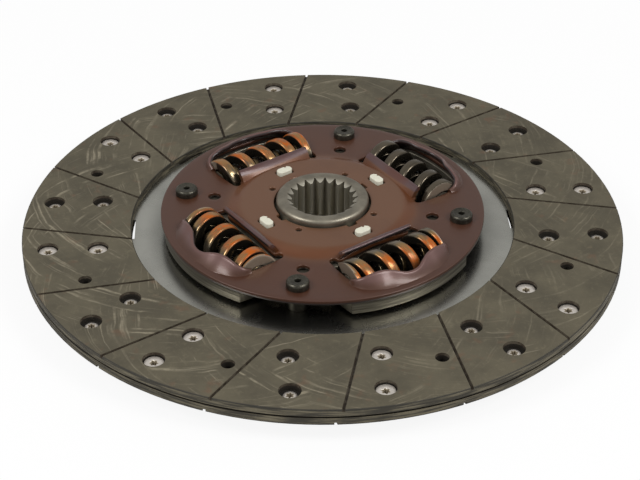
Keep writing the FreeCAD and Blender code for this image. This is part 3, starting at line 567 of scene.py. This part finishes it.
def spun(outline, angle):
    """An outline turned about the origin."""
    c, s = math.cos(angle), math.sin(angle)
    return outline @ np.array([[c, s], [-s, c]])


def inset(loop, distance):
    """A loop moved to its left: p + d (n + m) / (1 + n.m), n and m being its edges' normals."""
    edge = np.roll(loop, -1, 0) - loop
    edge /= np.linalg.norm(edge, axis=1)[:, None]
    normal = np.stack([-edge[:, 1], edge[:, 0]], 1)
    back = np.roll(normal, 1, 0)
    spread = 1 + (normal * back).sum(1)
    return loop + distance * (normal + back) / np.maximum(spread, 0.6)[:, None]


def wound(loop, anticlockwise):
    """The loop in the asked direction."""
    ahead = np.roll(loop, -1, 0)
    area = (loop[:, 0] * ahead[:, 1] - loop[:, 1] * ahead[:, 0]).sum()
    return loop if (area > 0) == anticlockwise else loop[::-1]


def within(points, loops):
    """Which points have an odd number of loop edges to their right."""
    odd = np.zeros(len(points), bool)
    for loop in loops:
        a, b = loop[None], np.roll(loop, -1, 0)[None]
        x, y = points[:, 0, None], points[:, 1, None]
        straddles = (a[..., 1] > y) != (b[..., 1] > y)
        rise = np.where(b[..., 1] == a[..., 1], 1.0, b[..., 1] - a[..., 1])
        crossing = a[..., 0] + (y - a[..., 1]) * (b[..., 0] - a[..., 0]) / rise
        odd ^= ((straddles & (crossing > x)).sum(1) % 2).astype(bool)
    return odd


def sheet_metal(outer, holes, filling, skin, thick, edge, side=1):
    """Sheet of an even thickness over a plan, with every edge rounded.

    The plan is the outer loop less the holes. Each loop is repeated at insets edge (1 - cos a), a
    going from 0 to 90 degrees, where the skin drops by edge (1 - sin a). The rest of the plan is
    triangulated through the filling points, which keep clear of the loops. The height is
    skin(x, y), times side.
    """
    clear = 0.9
    loops = [wound(outer, True)] + [wound(hole, False) for hole in holes]
    turn = np.linspace(0, np.pi / 2, 4)
    plan, falls, edges, rims, count = [], [], [], [], 0
    for loop in loops:
        rims.append(np.arange(len(loop)) + count)
        for a in turn:
            index = np.arange(len(loop)) + count
            plan.append(inset(loop, edge * (1 - math.cos(a))))
            falls.append(np.full(len(loop), edge * (1 - math.sin(a))))
            edges.append(np.stack([index, np.roll(index, -1)], 1))
            count += len(loop)
    filling = filling[within(filling, loops)]
    border = np.concatenate(plan)
    gaps = np.min([np.linalg.norm(filling[:, None] - part[None], axis=2).min(1)
                   for part in np.array_split(border, 12)], axis=0)
    plan = np.concatenate([border, filling[gaps > clear]])
    found = geometry.delaunay_2d_cdt([Vector(p) for p in plan.tolist()],
                                     np.concatenate(edges).tolist(), [], 0, 1e-6)
    flat = np.array([tuple(p) for p in found[0]])
    triangles = np.array(found[2], int)
    source = np.array([names[0] if names else -1 for names in found[3]])
    place = np.full(len(plan), -1)
    place[source[source >= 0]] = np.nonzero(source >= 0)[0]
    fall = np.zeros(len(flat))
    falls = np.concatenate(falls)
    known = (source >= 0) & (source < len(falls))
    fall[known] = falls[source[known]]
    triangles = triangles[within(flat[triangles].mean(1), loops)]
    a, b, c = (flat[triangles[:, i]] for i in range(3))
    (ax, ay), (bx, by), (cx, cy) = a.T, b.T, c.T
    area = (bx - ax) * (cy - ay) - (by - ay) * (cx - ax)
    triangles[area < 0] = triangles[area < 0][:, ::-1]
    top = skin(flat[:, 0], flat[:, 1])
    points = np.concatenate([np.column_stack([flat, top - fall]),
                             np.column_stack([flat, top - thick + fall])])
    total = len(flat)
    faces = triangles.tolist() + (triangles[:, ::-1] + total).tolist()
    for rim in rims:
        here = place[rim]
        there = np.roll(here, -1)
        faces += np.stack([here + total, there + total, there, here], 1).tolist()
    if side < 0:
        points[:, 2] *= -1
        faces = [face[::-1] for face in faces]
    return points, faces


def smooth_line(stations, count):
    """A curve through stations, Catmull-Rom: each span is a cubic with slopes (next - last) / 2."""
    stations = np.array(stations, float)
    first, last = 2 * stations[:1] - stations[1:2], 2 * stations[-1:] - stations[-2:-1]
    padded = np.concatenate([first, stations, last])
    place = np.linspace(0, len(stations) - 1, count)
    span = np.minimum(place.astype(int), len(stations) - 2)
    t = (place - span)[:, None]
    p0, p1, p2, p3 = (padded[span + i] for i in range(4))
    return 0.5 * (2 * p1 + (p2 - p0) * t + (2 * p0 - 5 * p1 + 4 * p2 - p3) * t ** 2
                  + (3 * p1 - p0 - 3 * p2 + p3) * t ** 3)


def lip(foot, rim, thick, tuck, roll, steps=14):
    """A lip bent up from a sheet, carried along its foot.

    With x from 0 at the foot to 1 at the rim, the skin rises as
    (1 - roll) x^1.35 + roll sin(pi x / 2). The other face is one thickness below along the normal,
    and half a circle closes the free edge. Before the foot it runs back level into the sheet by
    tuck. The marks returned with it are 1 on the lower face and the free edge's lower part.
    """
    across = rim[:, :2] - foot[:, :2]
    width = np.linalg.norm(across, axis=1)
    ahead = across / width[:, None]
    rise = rim[:, 2] - foot[:, 2]
    x = np.concatenate([[-1.0], np.linspace(0, 1, steps)])
    d = np.where(x < 0, -tuck, width[:, None] * np.maximum(x, 0))
    x = np.maximum(x, 0)
    z = rise[:, None] * ((1 - roll) * x ** 1.35 + roll * np.sin(np.pi * x / 2)) - thick / 2
    dd, dz = np.gradient(d, axis=1), np.gradient(z, axis=1)
    size = np.hypot(dd, dz)
    nd, nz = -dz / size, dd / size
    half = thick / 2
    turn = np.linspace(np.pi / 2, -np.pi / 2, 9)[None, 1:-1]
    td, tz = (dd / size)[:, -1:], (dz / size)[:, -1:]
    cap_d = d[:, -1:] + half * (np.sin(turn) * nd[:, -1:] + np.cos(turn) * td)
    cap_z = z[:, -1:] + half * (np.sin(turn) * nz[:, -1:] + np.cos(turn) * tz)
    d_all = np.concatenate([d + half * nd, cap_d, (d - half * nd)[:, ::-1]], 1)
    z_all = np.concatenate([z + half * nz, cap_z, (z - half * nz)[:, ::-1]], 1)
    plan = foot[:, None, :2] + d_all[..., None] * ahead[:, None]
    points = np.concatenate([plan, (foot[:, 2:] + z_all)[..., None]], 2)
    rows, columns = points.shape[:2]
    faces = grid_faces(rows, columns, False, True).tolist()
    ring = np.arange(columns)
    faces += [ring.tolist(), (ring[::-1] + (rows - 1) * columns).tolist()]
    # Marked 1: the lower face and the free edge's lower part, which the plate's finish paints near
    # black as painted shade
    inside = np.zeros((rows, columns))
    inside[1:-1, -steps - 5:] = 1
    return points.reshape(-1, 3), faces, inside.ravel()


def coil(diameter, wire, turns, length, start, hand, stripe, spread, fade, square=0.48, around=36):
    """A closed and ground spring along its own X axis.

    The wire's middle is at (climb(u), R cos a, R sin a) with a = start + 2 pi u, where climb is
    slow in the first and last 0.9 of a turn. Whatever passes the end planes is flattened onto them.
    The wire's section is (cos p, sin p), each raised to the power square, which flattens it.
    """
    foot, shut = -0.20 * wire, 0.9
    close = shut * wire
    u = np.linspace(0, turns, int(turns * 40) + 1)
    knots = [-1, 0, shut, turns - shut, turns, turns + 1]
    top = length - foot
    heights = [foot - wire, foot, foot + close, top - close, top, top + wire]
    fine = np.linspace(-1, turns + 1, 3000)
    kernel = np.hanning(int(3000 * 0.45 / (turns + 2)) | 1)
    eased = np.convolve(np.interp(fine, knots, heights), kernel / kernel.sum(), "same")
    climb = np.interp(u, fine, eased)
    radius = diameter / 2 - wire / 2
    angle = hand * (start + 2 * np.pi * u)
    out = np.stack([0 * u, np.cos(angle), np.sin(angle)], 1)
    middle = np.stack([climb, 0 * u, 0 * u], 1) + radius * out
    ahead = np.gradient(middle, axis=0)
    ahead /= np.linalg.norm(ahead, axis=1)[:, None]
    beside = np.cross(ahead, out)
    phi = np.linspace(0, -2 * np.pi, around, endpoint=False)
    flat, deep = (np.sign(f) * np.abs(f) ** square for f in (np.cos(phi), np.sin(phi)))
    ring = flat[None, :, None] * out[:, None] + deep[None, :, None] * beside[:, None]
    points = middle[:, None] + wire / 2 * ring
    cut = (points[..., 0] < 0) | (points[..., 0] > length)
    points[..., 0] = np.clip(points[..., 0], 0, length)
    rows = len(u)
    faces = grid_faces(rows, around, False, True).tolist()
    cap = np.arange(around)
    faces += [cap.tolist(), (cap[::-1] + (rows - 1) * around).tolist()]
    turned_to = np.arctan2(points[..., 2], points[..., 1])
    away = np.abs((turned_to - stripe + np.pi) % (2 * np.pi) - np.pi)
    around_wire = np.stack([np.cos(phi), np.sin(phi)], 1) * wire / 2
    along_wire = (u * 2 * np.pi * radius / 9)[:, None, None]
    drawn = np.concatenate([np.broadcast_to(around_wire, (rows, around, 2)),
                            np.broadcast_to(along_wire, (rows, around, 1))], 2)
    left = np.interp(u / turns, [0, 1], fade)[:, None]
    marks = {"stripe": (np.clip(1 - away / spread, 0, 1) * left).ravel(),
             "cut": cut.astype(float).ravel(),
             "rub": np.repeat(np.cos(phi)[None], rows, 0).ravel(),
             "wire": drawn.reshape(-1, 3) * MM}
    return points.reshape(-1, 3) - [length / 2, 0, 0], faces, marks


def in_window(points, angle, out=0.0, height=0.0):
    """Points given as out, along and up, moved to their place round the hub's axis."""
    moved = points + [out, 0, height]
    c, s = math.cos(angle), math.sin(angle)
    return moved @ np.array([[c, s, 0], [-s, c, 0], [0, 0, 1]])


def listed(faces):
    """Faces as lists, whether they come as an array or as lists."""
    return faces.tolist() if hasattr(faces, "tolist") else faces


def joined(parts):
    """Several (points, faces) as one."""
    points, faces, count = [], [], 0
    for spots, sides in parts:
        points.append(spots)
        faces += [[v + count for v in side] for side in listed(sides)]
        count += len(spots)
    return np.concatenate(points), faces


def put(name, shape, body, nodes, finish, sharp=35.0, marks=None):
    """Make the mesh in metres, join what meets, and let it stand for its CAD nodes.

    Edges sharper than sharp degrees stay sharp, and marks are the mesh's own attributes.
    """
    points, faces = shape
    mesh = bpy.data.meshes.new(name)
    mesh.from_pydata((points * MM).tolist(), [], listed(faces))
    for key, values in (marks or {}).items():
        kind, field = ("FLOAT_VECTOR", "vector") if values.ndim == 2 else ("FLOAT", "value")
        layer = mesh.attributes.new(key, kind, "POINT")
        layer.data.foreach_set(field, values.astype(np.float32).ravel())
    piece = bpy.data.objects.new(name, mesh)
    bpy.context.scene.collection.objects.link(piece)
    work = bmesh.new()
    work.from_mesh(mesh)
    bmesh.ops.remove_doubles(work, verts=work.verts, dist=1e-7)
    work.to_mesh(mesh)
    work.free()
    mesh.shade_smooth()
    mesh.set_sharp_from_angle(angle=math.radians(sharp))
    mesh.materials.append(finish)
    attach(piece, body)
    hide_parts(*nodes)
    return piece


def dress(node, finish):
    """Give a CAD node its finish."""
    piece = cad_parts[node]
    if not piece.material_slots:
        piece.data.materials.append(finish)
    for holder in piece.material_slots:
        holder.material = finish


# Pieces

def window_loop():
    """A spring window: straight inner edge with round notches, bulging ends and an outer edge."""
    corners = [(WINDOW_INNER, 0), (WINDOW_INNER, -17.6), (34.3, -17.9), (33.5, -19.4),
               (34.2, -21.2), (36.4, -21.5), (41, -21.9), (47, -22.1), (53, -21.6), (58.2, -19.5),
               (60.2, -14.8), (WINDOW_OUTER, -7)]
    corners += [(x, -y) for x, y in reversed(corners[1:])]
    corners.insert(len(corners) // 2 + 1, (WINDOW_OUTER, 0))
    return rounded(corners, 1.6)


def dish(radius, top, foot_level):
    """Height of a plate's skin: level middle, smooth slope from r 33.2 to 39.6, level rim."""
    x = np.clip((radius - 33.2) / 6.4, 0, 1)
    return top + (foot_level - top) * x * x * (3 - 2 * x)


def rings(radii, count):
    """Points on circles, every second circle half a step on."""
    return np.concatenate([spun(circle(r, count), (k % 2) * np.pi / count)
                           for k, r in enumerate(radii)])


def outer_lip(scale, level):
    """The hood over a spring's outer side, from half of its stations and their mirror image.

    Stations are foot out, foot along, rim out, rim along and the rim's height over the skin, which
    is multiplied by scale.
    """
    half = np.array([
        (64.3, 0.0, 61.8, 0.0, 2.8), (64.2, 3.6, 61.3, 3.4, 3.1), (63.9, 7.2, 59.8, 6.5, 4.0),
        (63.4, 10.8, 58.0, 9.9, 4.7), (62.4, 14.4, 57.1, 13.4, 5.0), (60.3, 18.2, 56.3, 16.8, 4.6),
        (57.4, 21.3, 55.4, 19.8, 3.7), (54.0, 22.9, 53.1, 21.9, 2.4),
        (50.6, 23.2, 50.2, 22.0, 0.9)])
    flip = half[:0:-1] * [1, -1, 1, -1, 1]
    line = smooth_line(np.concatenate([flip, half]), 97)[::-1]
    foot = np.column_stack([line[:, 0], line[:, 1], np.full(len(line), level)])
    rim = np.column_stack([line[:, 2], line[:, 3], level + line[:, 4] * scale])
    return lip(foot, rim, PLATE_THICK, 1.6, 0.0)


def inner_lip(skin, rim_height, rim_radius):
    """The straight lip on the window's inner side, from the skin up to a level rim."""
    along = np.linspace(-17.2, 17.2, 25)
    out = np.full(len(along), 34.2)
    foot = np.column_stack([out, along, skin(out, along)])
    rim = np.column_stack([out * 0 + rim_radius, along, out * 0 + rim_height])
    return lip(foot, rim, PLATE_THICK, 1.2, 0.7)


def pressed_plate(face, top, hole, lip_scale, inner_height, extra, side):
    """A plate's whole shape. Its skin is height face at the rim and top in the middle."""
    holes = [hole] + extra
    for angle in WINDOWS:
        holes.append(spun(window_loop(), angle))
        for ring, radius, count in ((PIN_RING, 3.2, 20), (TOOL_RING, 2.6, 28)):
            holes.append(circle(radius, count, ring, angle + np.pi / 4))
    radii = np.concatenate([np.arange(22, 32.5, 2.2), np.arange(32.9, 40.2, 0.62),
                            np.arange(41.5, 67, 2.6)])
    edge = bpy.context.scene.clutch_sizes.edge / MM

    def skin(x, y):
        return dish(np.hypot(x, y), top, face)

    rim = circle(PLATE_RADIUS, 288)
    parts = [sheet_metal(rim, holes, rings(radii, 168), skin, PLATE_THICK, edge, side)]
    half = len(parts[0][0]) // 2
    # The lower half, which faces the springs, is marked 1 for the plate's painted shade
    inside = [np.zeros(half), np.ones(half)]
    for angle in WINDOWS:
        lips = (outer_lip(lip_scale, face), inner_lip(skin, inner_height, 37.2))
        for points, faces, hidden in lips:
            placed = in_window(points, angle)
            placed[:, 2] *= side
            parts.append((placed, faces if side < 0 else [f[::-1] for f in faces]))
            inside.append(hidden)
    return joined(parts), {"under": np.concatenate(inside)}


def front_plate_shape():
    """The retaining plate: notches in the centre hole, tab slots and index holes at each window."""
    scallop = circle(20.2, 240)
    here = np.arctan2(scallop[:, 1], scallop[:, 0])[:, None]
    turn = (here - WINDOWS + np.pi / 4) % (np.pi / 2) - np.pi / 4
    scallop *= (1 + 0.085 * (np.abs(turn[:, 0]) < 0.112))[:, None]
    slot = rounded([(25.99, -3.65), (30.29, -3.65), (30.29, 3.65), (25.99, 3.65)], 0.8)
    extra = []
    for angle in WINDOWS:
        extra += [spun(slot, angle), circle(1.3, 20, 23.2, angle + math.radians(30))]
    return pressed_plate(FRONT_SKIN, FRONT_TOP, scallop, 1.0, 14.1, extra, 1)


def rear_plate_shape():
    """The disc plate: made like the retaining plate, facing down, with lower lips."""
    return pressed_plate(2.4, 3.0, circle(21.5, 200), 0.62, 4.55, [], -1)


def flange_outline():
    """The flange's rim with its four open notches, in one loop.

    A notch is symmetrical. Its side follows wall and then runs straight to the rim with slope.
    """
    wall = [(52.3, 12.0), (55.5, 15.2), (56.5, 15.2)]
    (foot_x, foot_y), reach = wall[-1], 66.5
    slope = (23.2 - foot_y) / (63.4 - foot_x)
    x = np.linspace(foot_x, reach, 2001)
    y = foot_y + (x - foot_x) * slope
    end = np.argmin(np.abs(np.hypot(x, y) - reach))
    gap = math.atan2(y[end], x[end])
    loop = []
    for angle in WINDOWS + np.pi / 4:
        notch = ([(x[end], -y[end])] + [(o, -a) for o, a in reversed(wall)] + wall
                 + [(x[end], y[end])])
        notch = rounded(notch, [0, 1.2, 1.5, 2.5, 2.5, 1.5, 1.2, 0])
        loop.append(spun(notch, angle))
        lobe = np.linspace(gap, np.pi / 2 - gap, 40)[1:-1] + angle
        loop.append(reach * np.stack([np.cos(lobe), np.sin(lobe)], 1))
    return np.concatenate(loop)


def spline_boss():
    """The boss: outer rim turned, bore cut by 21 teeth, both mouths of the bore coned.

    Round the bore the radius goes from tooth tip to space foot as share ^ 1.7, which rounds the
    teeth and narrows the spaces. A cone of this slope cuts them back to the mouth's circle.
    """
    teeth, per = 21, 24
    edge = bpy.context.scene.clutch_sizes.boss_round / MM
    low, high, outer, mouth, slope = BOSS_REAR, BOSS_FRONT, 19.3, 15.05, 0.65
    angle = np.linspace(0, 2 * np.pi, teeth * per, endpoint=False)
    phase = np.abs(((angle * teeth / (2 * np.pi)) % 1) * 2 - 1)
    share = np.clip((phase - 0.06) / 0.84, 0, 1)
    tip, depth = 12.7, 2.1
    bore = tip + depth * share ** 1.7
    down = np.linspace(0, 1, 9)[:, None]
    cut_back = slope * (mouth - bore)
    level = (high - cut_back) * (1 - down) + (low + cut_back) * down
    walls = np.stack([bore + 0 * down, level], -1)
    turn = np.linspace(0, np.pi / 2, 7)
    round_r, round_z = outer - edge * (1 - np.sin(turn)), edge * (1 - np.cos(turn))
    across = np.linspace(mouth, outer - edge, 5)[:-1]
    skin_r = np.concatenate([across, round_r, round_r[::-1], across[::-1]])
    flat = across * 0
    skin_z = np.concatenate([flat + low, low + round_z, (high - round_z)[::-1], flat + high])
    skin = np.broadcast_to(np.stack([skin_r, skin_z], -1)[:, None], (len(skin_r), len(angle), 2))
    radius, height = np.moveaxis(np.concatenate([walls, skin]), 0, 1).transpose(2, 0, 1)
    x, y = radius * np.cos(angle)[:, None], radius * np.sin(angle)[:, None]
    points = np.stack([x, y, height], -1)
    return points.reshape(-1, 3), grid_faces(len(angle), radius.shape[1], True, True)


def hub_shape():
    """Flange and boss: four spring windows, four notches and the spline."""
    holes = [circle(18.6, 120)]
    for angle in WINDOWS:
        window = rounded([(WINDOW_INNER, -21.5), (57.3, -21.5), (60.4, -11), (WINDOW_OUTER, 0),
                          (60.4, 11), (57.3, 21.5), (WINDOW_INNER, 21.5)],
                         [1.5, 1.5, 6, 6, 6, 1.5, 1.5])
        holes.append(spun(window, angle))

    def skin(x, y):
        return np.full(len(x), FLANGE_TOP)

    filling = rings(np.arange(22, 66, 4.0), 90)
    return joined([sheet_metal(flange_outline(), holes, filling, skin, 5.0, 0.3), spline_boss()])


def pin_profile():
    """A stop pin from its rear head to its front head, with the dimple and the bevels."""
    bevel = bpy.context.scene.clutch_sizes.pin_bevel / MM
    corners = [(0, -4.6), (4.65, -4.6), (4.65, -2.4), (3.1, -2.4), (3.1, 0.4), (4.6, 0.4),
               (4.6, 7.55), (3.1, 7.55), (3.1, FRONT_SKIN), (4.65, FRONT_SKIN), (4.65, 12.0),
               (3.7, 12.7), (3.0, 12.45), (1.35, 12.4), (1.0, 10.6), (0, 10.5)]
    radii = [0, bevel, 0.2, 0.1, 0.1, 0.2, 0.2, 0.1, 0.1, 0.25, bevel, 0.25, 0.2, 0.15, 0.2, 0]
    return rounded(corners, radii, 6)


def rivet_profile():
    """A hollow rivet: flat head with rounded rim, shank, and a tail rolled outwards."""
    corners = [(1.25, -1.3), (2.0, -1.3), (2.8, -1.0), (2.75, -0.45), (2.2, -0.4), (2.2, 1.6),
               (3.85, 1.6), (3.85, 2.1), (1.8, 2.1), (1.35, 1.8), (1.25, 1.2)]
    return rounded(corners, [0.1, 0.3, 0.4, 0.1, 0.1, 0.1, 0.15, 0.25, 0.2, 0.2, 0.2], 4)


def facing_rivets_shape(side):
    """Two rivets in each paddle. The split hollow is pinched into a six-pointed star."""
    points, faces = turned(rivet_profile(), 30)
    radius = np.hypot(points[:, 0], points[:, 1])
    angle = np.arctan2(points[:, 1], points[:, 0])
    pinch = 1 + np.clip((2.6 - radius) / 1.2, 0, 1) * (0.22 * np.cos(6 * angle) - 0.06)
    points = points * np.stack([pinch, pinch, np.ones_like(pinch)], 1)
    hollow = np.clip((1.75 - radius) / 0.3, 0, 1)
    parts = []
    for paddle in PADDLES:
        for ring, turn in ((94.55, 11.78), (114.65, 13.69)):
            place = paddle - side * math.radians(turn)
            parts.append((in_window(points * [1, 1, side], place, ring),
                          faces if side > 0 else faces[:, ::-1]))
    return joined(parts), {"hollow": np.tile(hollow, len(parts))}


def washer_shape():
    """The friction washer: a ring below the plate and four six-sided tabs, each with one nick."""
    def level(x, y):
        return np.full(len(x), 13.3)

    profile = rounded([(20.8, 8.45), (31.3, 8.45), (31.3, 9.95), (20.8, 9.95)], 0.25, 4)
    parts = [turned(profile, 120)]
    tab = rounded([(1.95, -2.2), (1.95, 0.9), (1.25, 1.15), (1.25, 1.7), (1.95, 2.0), (0.8, 3.45),
                   (-0.8, 3.45), (-1.95, 2.2), (-1.95, -2.2), (-0.8, -3.45), (0.8, -3.45)],
                  [0.5, 0.2, 0.2, 0.2, 0.2, 0.4, 0.4, 0.5, 0.5, 0.4, 0.4], 5)
    filling = rings(np.arange(26.6, 30, 0.9), 180)
    for angle, outward, end in zip(WINDOWS, (1, 1, -1, -1), (1, -1, -1, 1)):
        outline = (tab * [outward, end])[::outward * end] + [28.15, 0]
        parts.append(sheet_metal(spun(outline, angle), [], filling, level, 4.1, 0.3))
    return joined(parts)


# Operators

class CLUTCH_OT_facings(bpy.types.Operator):
    """Finish the two friction facings and the cushion plate between them."""
    bl_idname = "clutch.facings"
    bl_label = "Facings and cushion plate"

    def execute(self, context):
        lining = lining_finish()
        dress("front_facing", lining)
        dress("rear_facing", lining)
        dress("cushion_plate", cushion_finish())
        return {"FINISHED"}


class CLUTCH_OT_facing_rivets(bpy.types.Operator):
    """Build the hollow rivets of both facings."""
    bl_idname = "clutch.facing_rivets"
    bl_label = "Facing rivets"

    def execute(self, context):
        finish = rivet_finish()
        for node, side in (("front_facing_rivets", 1), ("rear_facing_rivets", -1)):
            shape, marks = facing_rivets_shape(side)
            put("hollow_" + node, shape, "disc", [node], finish, marks=marks)
        return {"FINISHED"}


class CLUTCH_OT_plates(bpy.types.Operator):
    """Build the retaining plate and the disc plate with their lipped windows."""
    bl_idname = "clutch.plates"
    bl_label = "Pressed plates"

    def execute(self, context):
        finish = plate_finish()
        for name, (shape, marks), node in (
                ("pressed_retaining_plate", front_plate_shape(), "retaining_plate"),
                ("pressed_disc_plate", rear_plate_shape(), "disc_plate")):
            put(name, shape, "disc", [node], finish, marks=marks)
        return {"FINISHED"}


class CLUTCH_OT_hub(bpy.types.Operator):
    """Build the splined hub with its flange."""
    bl_idname = "clutch.hub"
    bl_label = "Splined hub"

    def execute(self, context):
        colours = context.scene.clutch_colours
        finish = steel_finish("machined hub steel", colours.steel, 0.34, 1500.0)
        put("splined_hub", hub_shape(), "hub", ["hub"], finish)
        return {"FINISHED"}


class CLUTCH_OT_stop_pins(bpy.types.Operator):
    """Build the four stop pins."""
    bl_idname = "clutch.stop_pins"
    bl_label = "Stop pins"

    def execute(self, context):
        finish = pin_finish()
        points, faces = turned(pin_profile(), 48, closed=False)
        marks = {"sunk": (np.hypot(points[:, 0], points[:, 1]) < 1.25) & (points[:, 2] > 9.0)}
        for number, angle in enumerate(WINDOWS + np.pi / 4, 1):
            spot = points + [PIN_RING * math.cos(angle), PIN_RING * math.sin(angle), 0]
            put("upset_pin_%d" % number, (spot, faces), "disc", ["stop_pin_%d" % number],
                finish, marks=marks)
        return {"FINISHED"}


class CLUTCH_OT_springs(bpy.types.Operator):
    """Build the four pairs of coil springs."""
    bl_idname = "clutch.springs"
    bl_label = "Coil springs"

    # For each window: the stripe's side and the wire's start, round the spring's axis from "out",
    # and how much of the stripe is left at the spring's two ends. The first spring has no stripe.
    STRIPES = (200.0, 80.0, 105.0, 25.0)
    STARTS = (57.0, 64.0, -154.0, -132.0)
    FADES = ((0.0, 0.0), (1.0, 0.25), (0.45, 1.0), (1.0, 0.9))
    LENGTH = 42.8

    def execute(self, context):
        sizes = context.scene.clutch_sizes
        striped = spring_finish("striped spring wire", 1.0, 0.85)
        plain = spring_finish("plain spring wire", 0.0, 0.45)
        kinds = (("outer", sizes.outer_coil / MM, sizes.outer_wire / MM, 5.3, -1),
                 ("inner", sizes.inner_coil / MM, sizes.inner_wire / MM, 9.3, 1))
        for index, angle in enumerate(WINDOWS):
            for kind, diameter, wire, turns, hand in kinds:
                points, faces, marks = coil(
                    diameter, wire, turns, self.LENGTH, math.radians(self.STARTS[index]), hand,
                    math.radians(self.STRIPES[index]), sizes.paint_width, self.FADES[index])
                spot = in_window(points[:, [1, 0, 2]], angle, SPRING_RING, SPRING_LEVEL)
                node = "%s_spring_%d" % (kind, index + 1)
                painted = kind == "outer" and index > 0
                piece = put("wound_" + node, (spot, [f[::-1] for f in faces]), "springs", [node],
                            striped if painted else plain, 28.0, marks)
                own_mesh(piece)
        return {"FINISHED"}


class CLUTCH_OT_friction_parts(bpy.types.Operator):
    """Build the friction washer with its tabs and finish the washers behind it."""
    bl_idname = "clutch.friction_parts"
    bl_label = "Friction washers"

    def execute(self, context):
        nylon = nylon_finish()
        strip = steel_finish("oiled strip steel", context.scene.clutch_colours.strip, 0.30, 900.0)
        put("tabbed_friction_washer", washer_shape(), "disc", ["front_friction_washer"],
            nylon)
        dress("rear_bush", nylon)
        for node in ("cone_spring", "control_plate", "rear_thrust_washer"):
            dress(node, strip)
        return {"FINISHED"}


class CLUTCH_OT_stage(bpy.types.Operator):
    """Set the floor, the lights and the camera."""
    bl_idname = "clutch.stage"
    bl_label = "Floor, light and camera"

    def execute(self, context):
        settings = context.scene.clutch_stage
        half = 6.0
        mesh = bpy.data.meshes.new("floor")
        mesh.from_pydata([(-half, -half, FLOOR), (half, -half, FLOOR), (half, half, FLOOR),
                          (-half, half, FLOOR)], [], [(0, 1, 2, 3)])
        mesh.materials.append(floor_finish(settings.floor))
        floor = bpy.data.objects.new("floor", mesh)
        context.scene.collection.objects.link(floor)
        self.sky(context, settings)
        self.lamp(context, "left", settings.left, 0.45, (-0.75, -0.38, 0.88))
        self.lamp(context, "right", settings.right, 0.45, (0.75, -0.38, 0.88))
        self.camera(context)
        return {"FINISHED"}

    def sky(self, context, settings):
        """Even grey light, with plain white where the camera sees it."""
        world = bpy.data.worlds.new("studio")
        world.use_nodes = True
        context.scene.world = world
        tree = world.node_tree
        back = next(n for n in tree.nodes if n.type == "BACKGROUND")
        back.inputs[0].default_value = (1.0, 1.0, 1.0, 1.0)
        rays = tree.nodes.new("ShaderNodeLightPath")
        spread = tree.nodes.new("ShaderNodeMapRange")
        spread.inputs["To Min"].default_value = settings.sky
        spread.inputs["To Max"].default_value = 1.0
        tree.links.new(rays.outputs["Is Camera Ray"], spread.inputs["Value"])
        tree.links.new(spread.outputs[0], back.inputs[1])

    def lamp(self, context, name, power, size, place):
        """A square soft light aimed at the disc."""
        data = bpy.data.lights.new(name, "AREA")
        data.energy, data.size = power, size
        lamp = bpy.data.objects.new(name, data)
        context.scene.collection.objects.link(lamp)
        lamp.location = place
        lamp.rotation_euler = (-Vector(place)).to_track_quat("-Z", "Y").to_euler()

    def camera(self, context):
        """The photograph's view: 33.5 degrees above the disc, through a long lens."""
        data = bpy.data.cameras.new("camera")
        data.sensor_width, data.lens = 36.0, 95.85
        data.shift_x, data.shift_y = -0.0039, -0.0348
        camera = bpy.data.objects.new("camera", data)
        context.scene.collection.objects.link(camera)
        camera.location = (0.0, -0.5970, 0.39835)
        camera.rotation_euler = (math.radians(90 - 33.47), 0.0, 0.0)
        context.scene.camera = camera
        context.scene.view_settings.view_transform = "Standard"


class CLUTCH_PT_panel(bpy.types.Panel):
    """Sizes, colours and the pieces' operators."""
    bl_label = "Clutch disc"
    bl_idname = "CLUTCH_PT_panel"
    bl_space_type = "VIEW_3D"
    bl_region_type = "UI"
    bl_category = "Clutch disc"

    def draw(self, context):
        scene = context.scene
        for group in (scene.clutch_sizes, scene.clutch_colours, scene.clutch_stage):
            box = self.layout.box()
            for name in group.bl_rna.properties.keys():
                if name not in ("rna_type", "name"):
                    box.prop(group, name)
        for operator in OPERATORS:
            self.layout.operator(operator.bl_idname)


OPERATORS = (CLUTCH_OT_facings, CLUTCH_OT_facing_rivets, CLUTCH_OT_plates, CLUTCH_OT_hub,
             CLUTCH_OT_stop_pins, CLUTCH_OT_springs, CLUTCH_OT_friction_parts, CLUTCH_OT_stage)
CLASSES = (ClutchSizes, ClutchColours, ClutchStage) + OPERATORS + (CLUTCH_PT_panel,)


def register():
    for cls in CLASSES:
        bpy.utils.register_class(cls)
    bpy.types.Scene.clutch_sizes = PointerProperty(type=ClutchSizes)
    bpy.types.Scene.clutch_colours = PointerProperty(type=ClutchColours)
    bpy.types.Scene.clutch_stage = PointerProperty(type=ClutchStage)


def unregister():
    del bpy.types.Scene.clutch_sizes, bpy.types.Scene.clutch_colours, bpy.types.Scene.clutch_stage
    for cls in reversed(CLASSES):
        bpy.utils.unregister_class(cls)


def main():
    register()
    bpy.ops.clutch.facings()
    bpy.ops.clutch.facing_rivets()
    bpy.ops.clutch.plates()
    bpy.ops.clutch.hub()
    bpy.ops.clutch.stop_pins()
    bpy.ops.clutch.springs()
    bpy.ops.clutch.friction_parts()
    bpy.ops.clutch.stage()


if __name__ == "__main__":
    main()
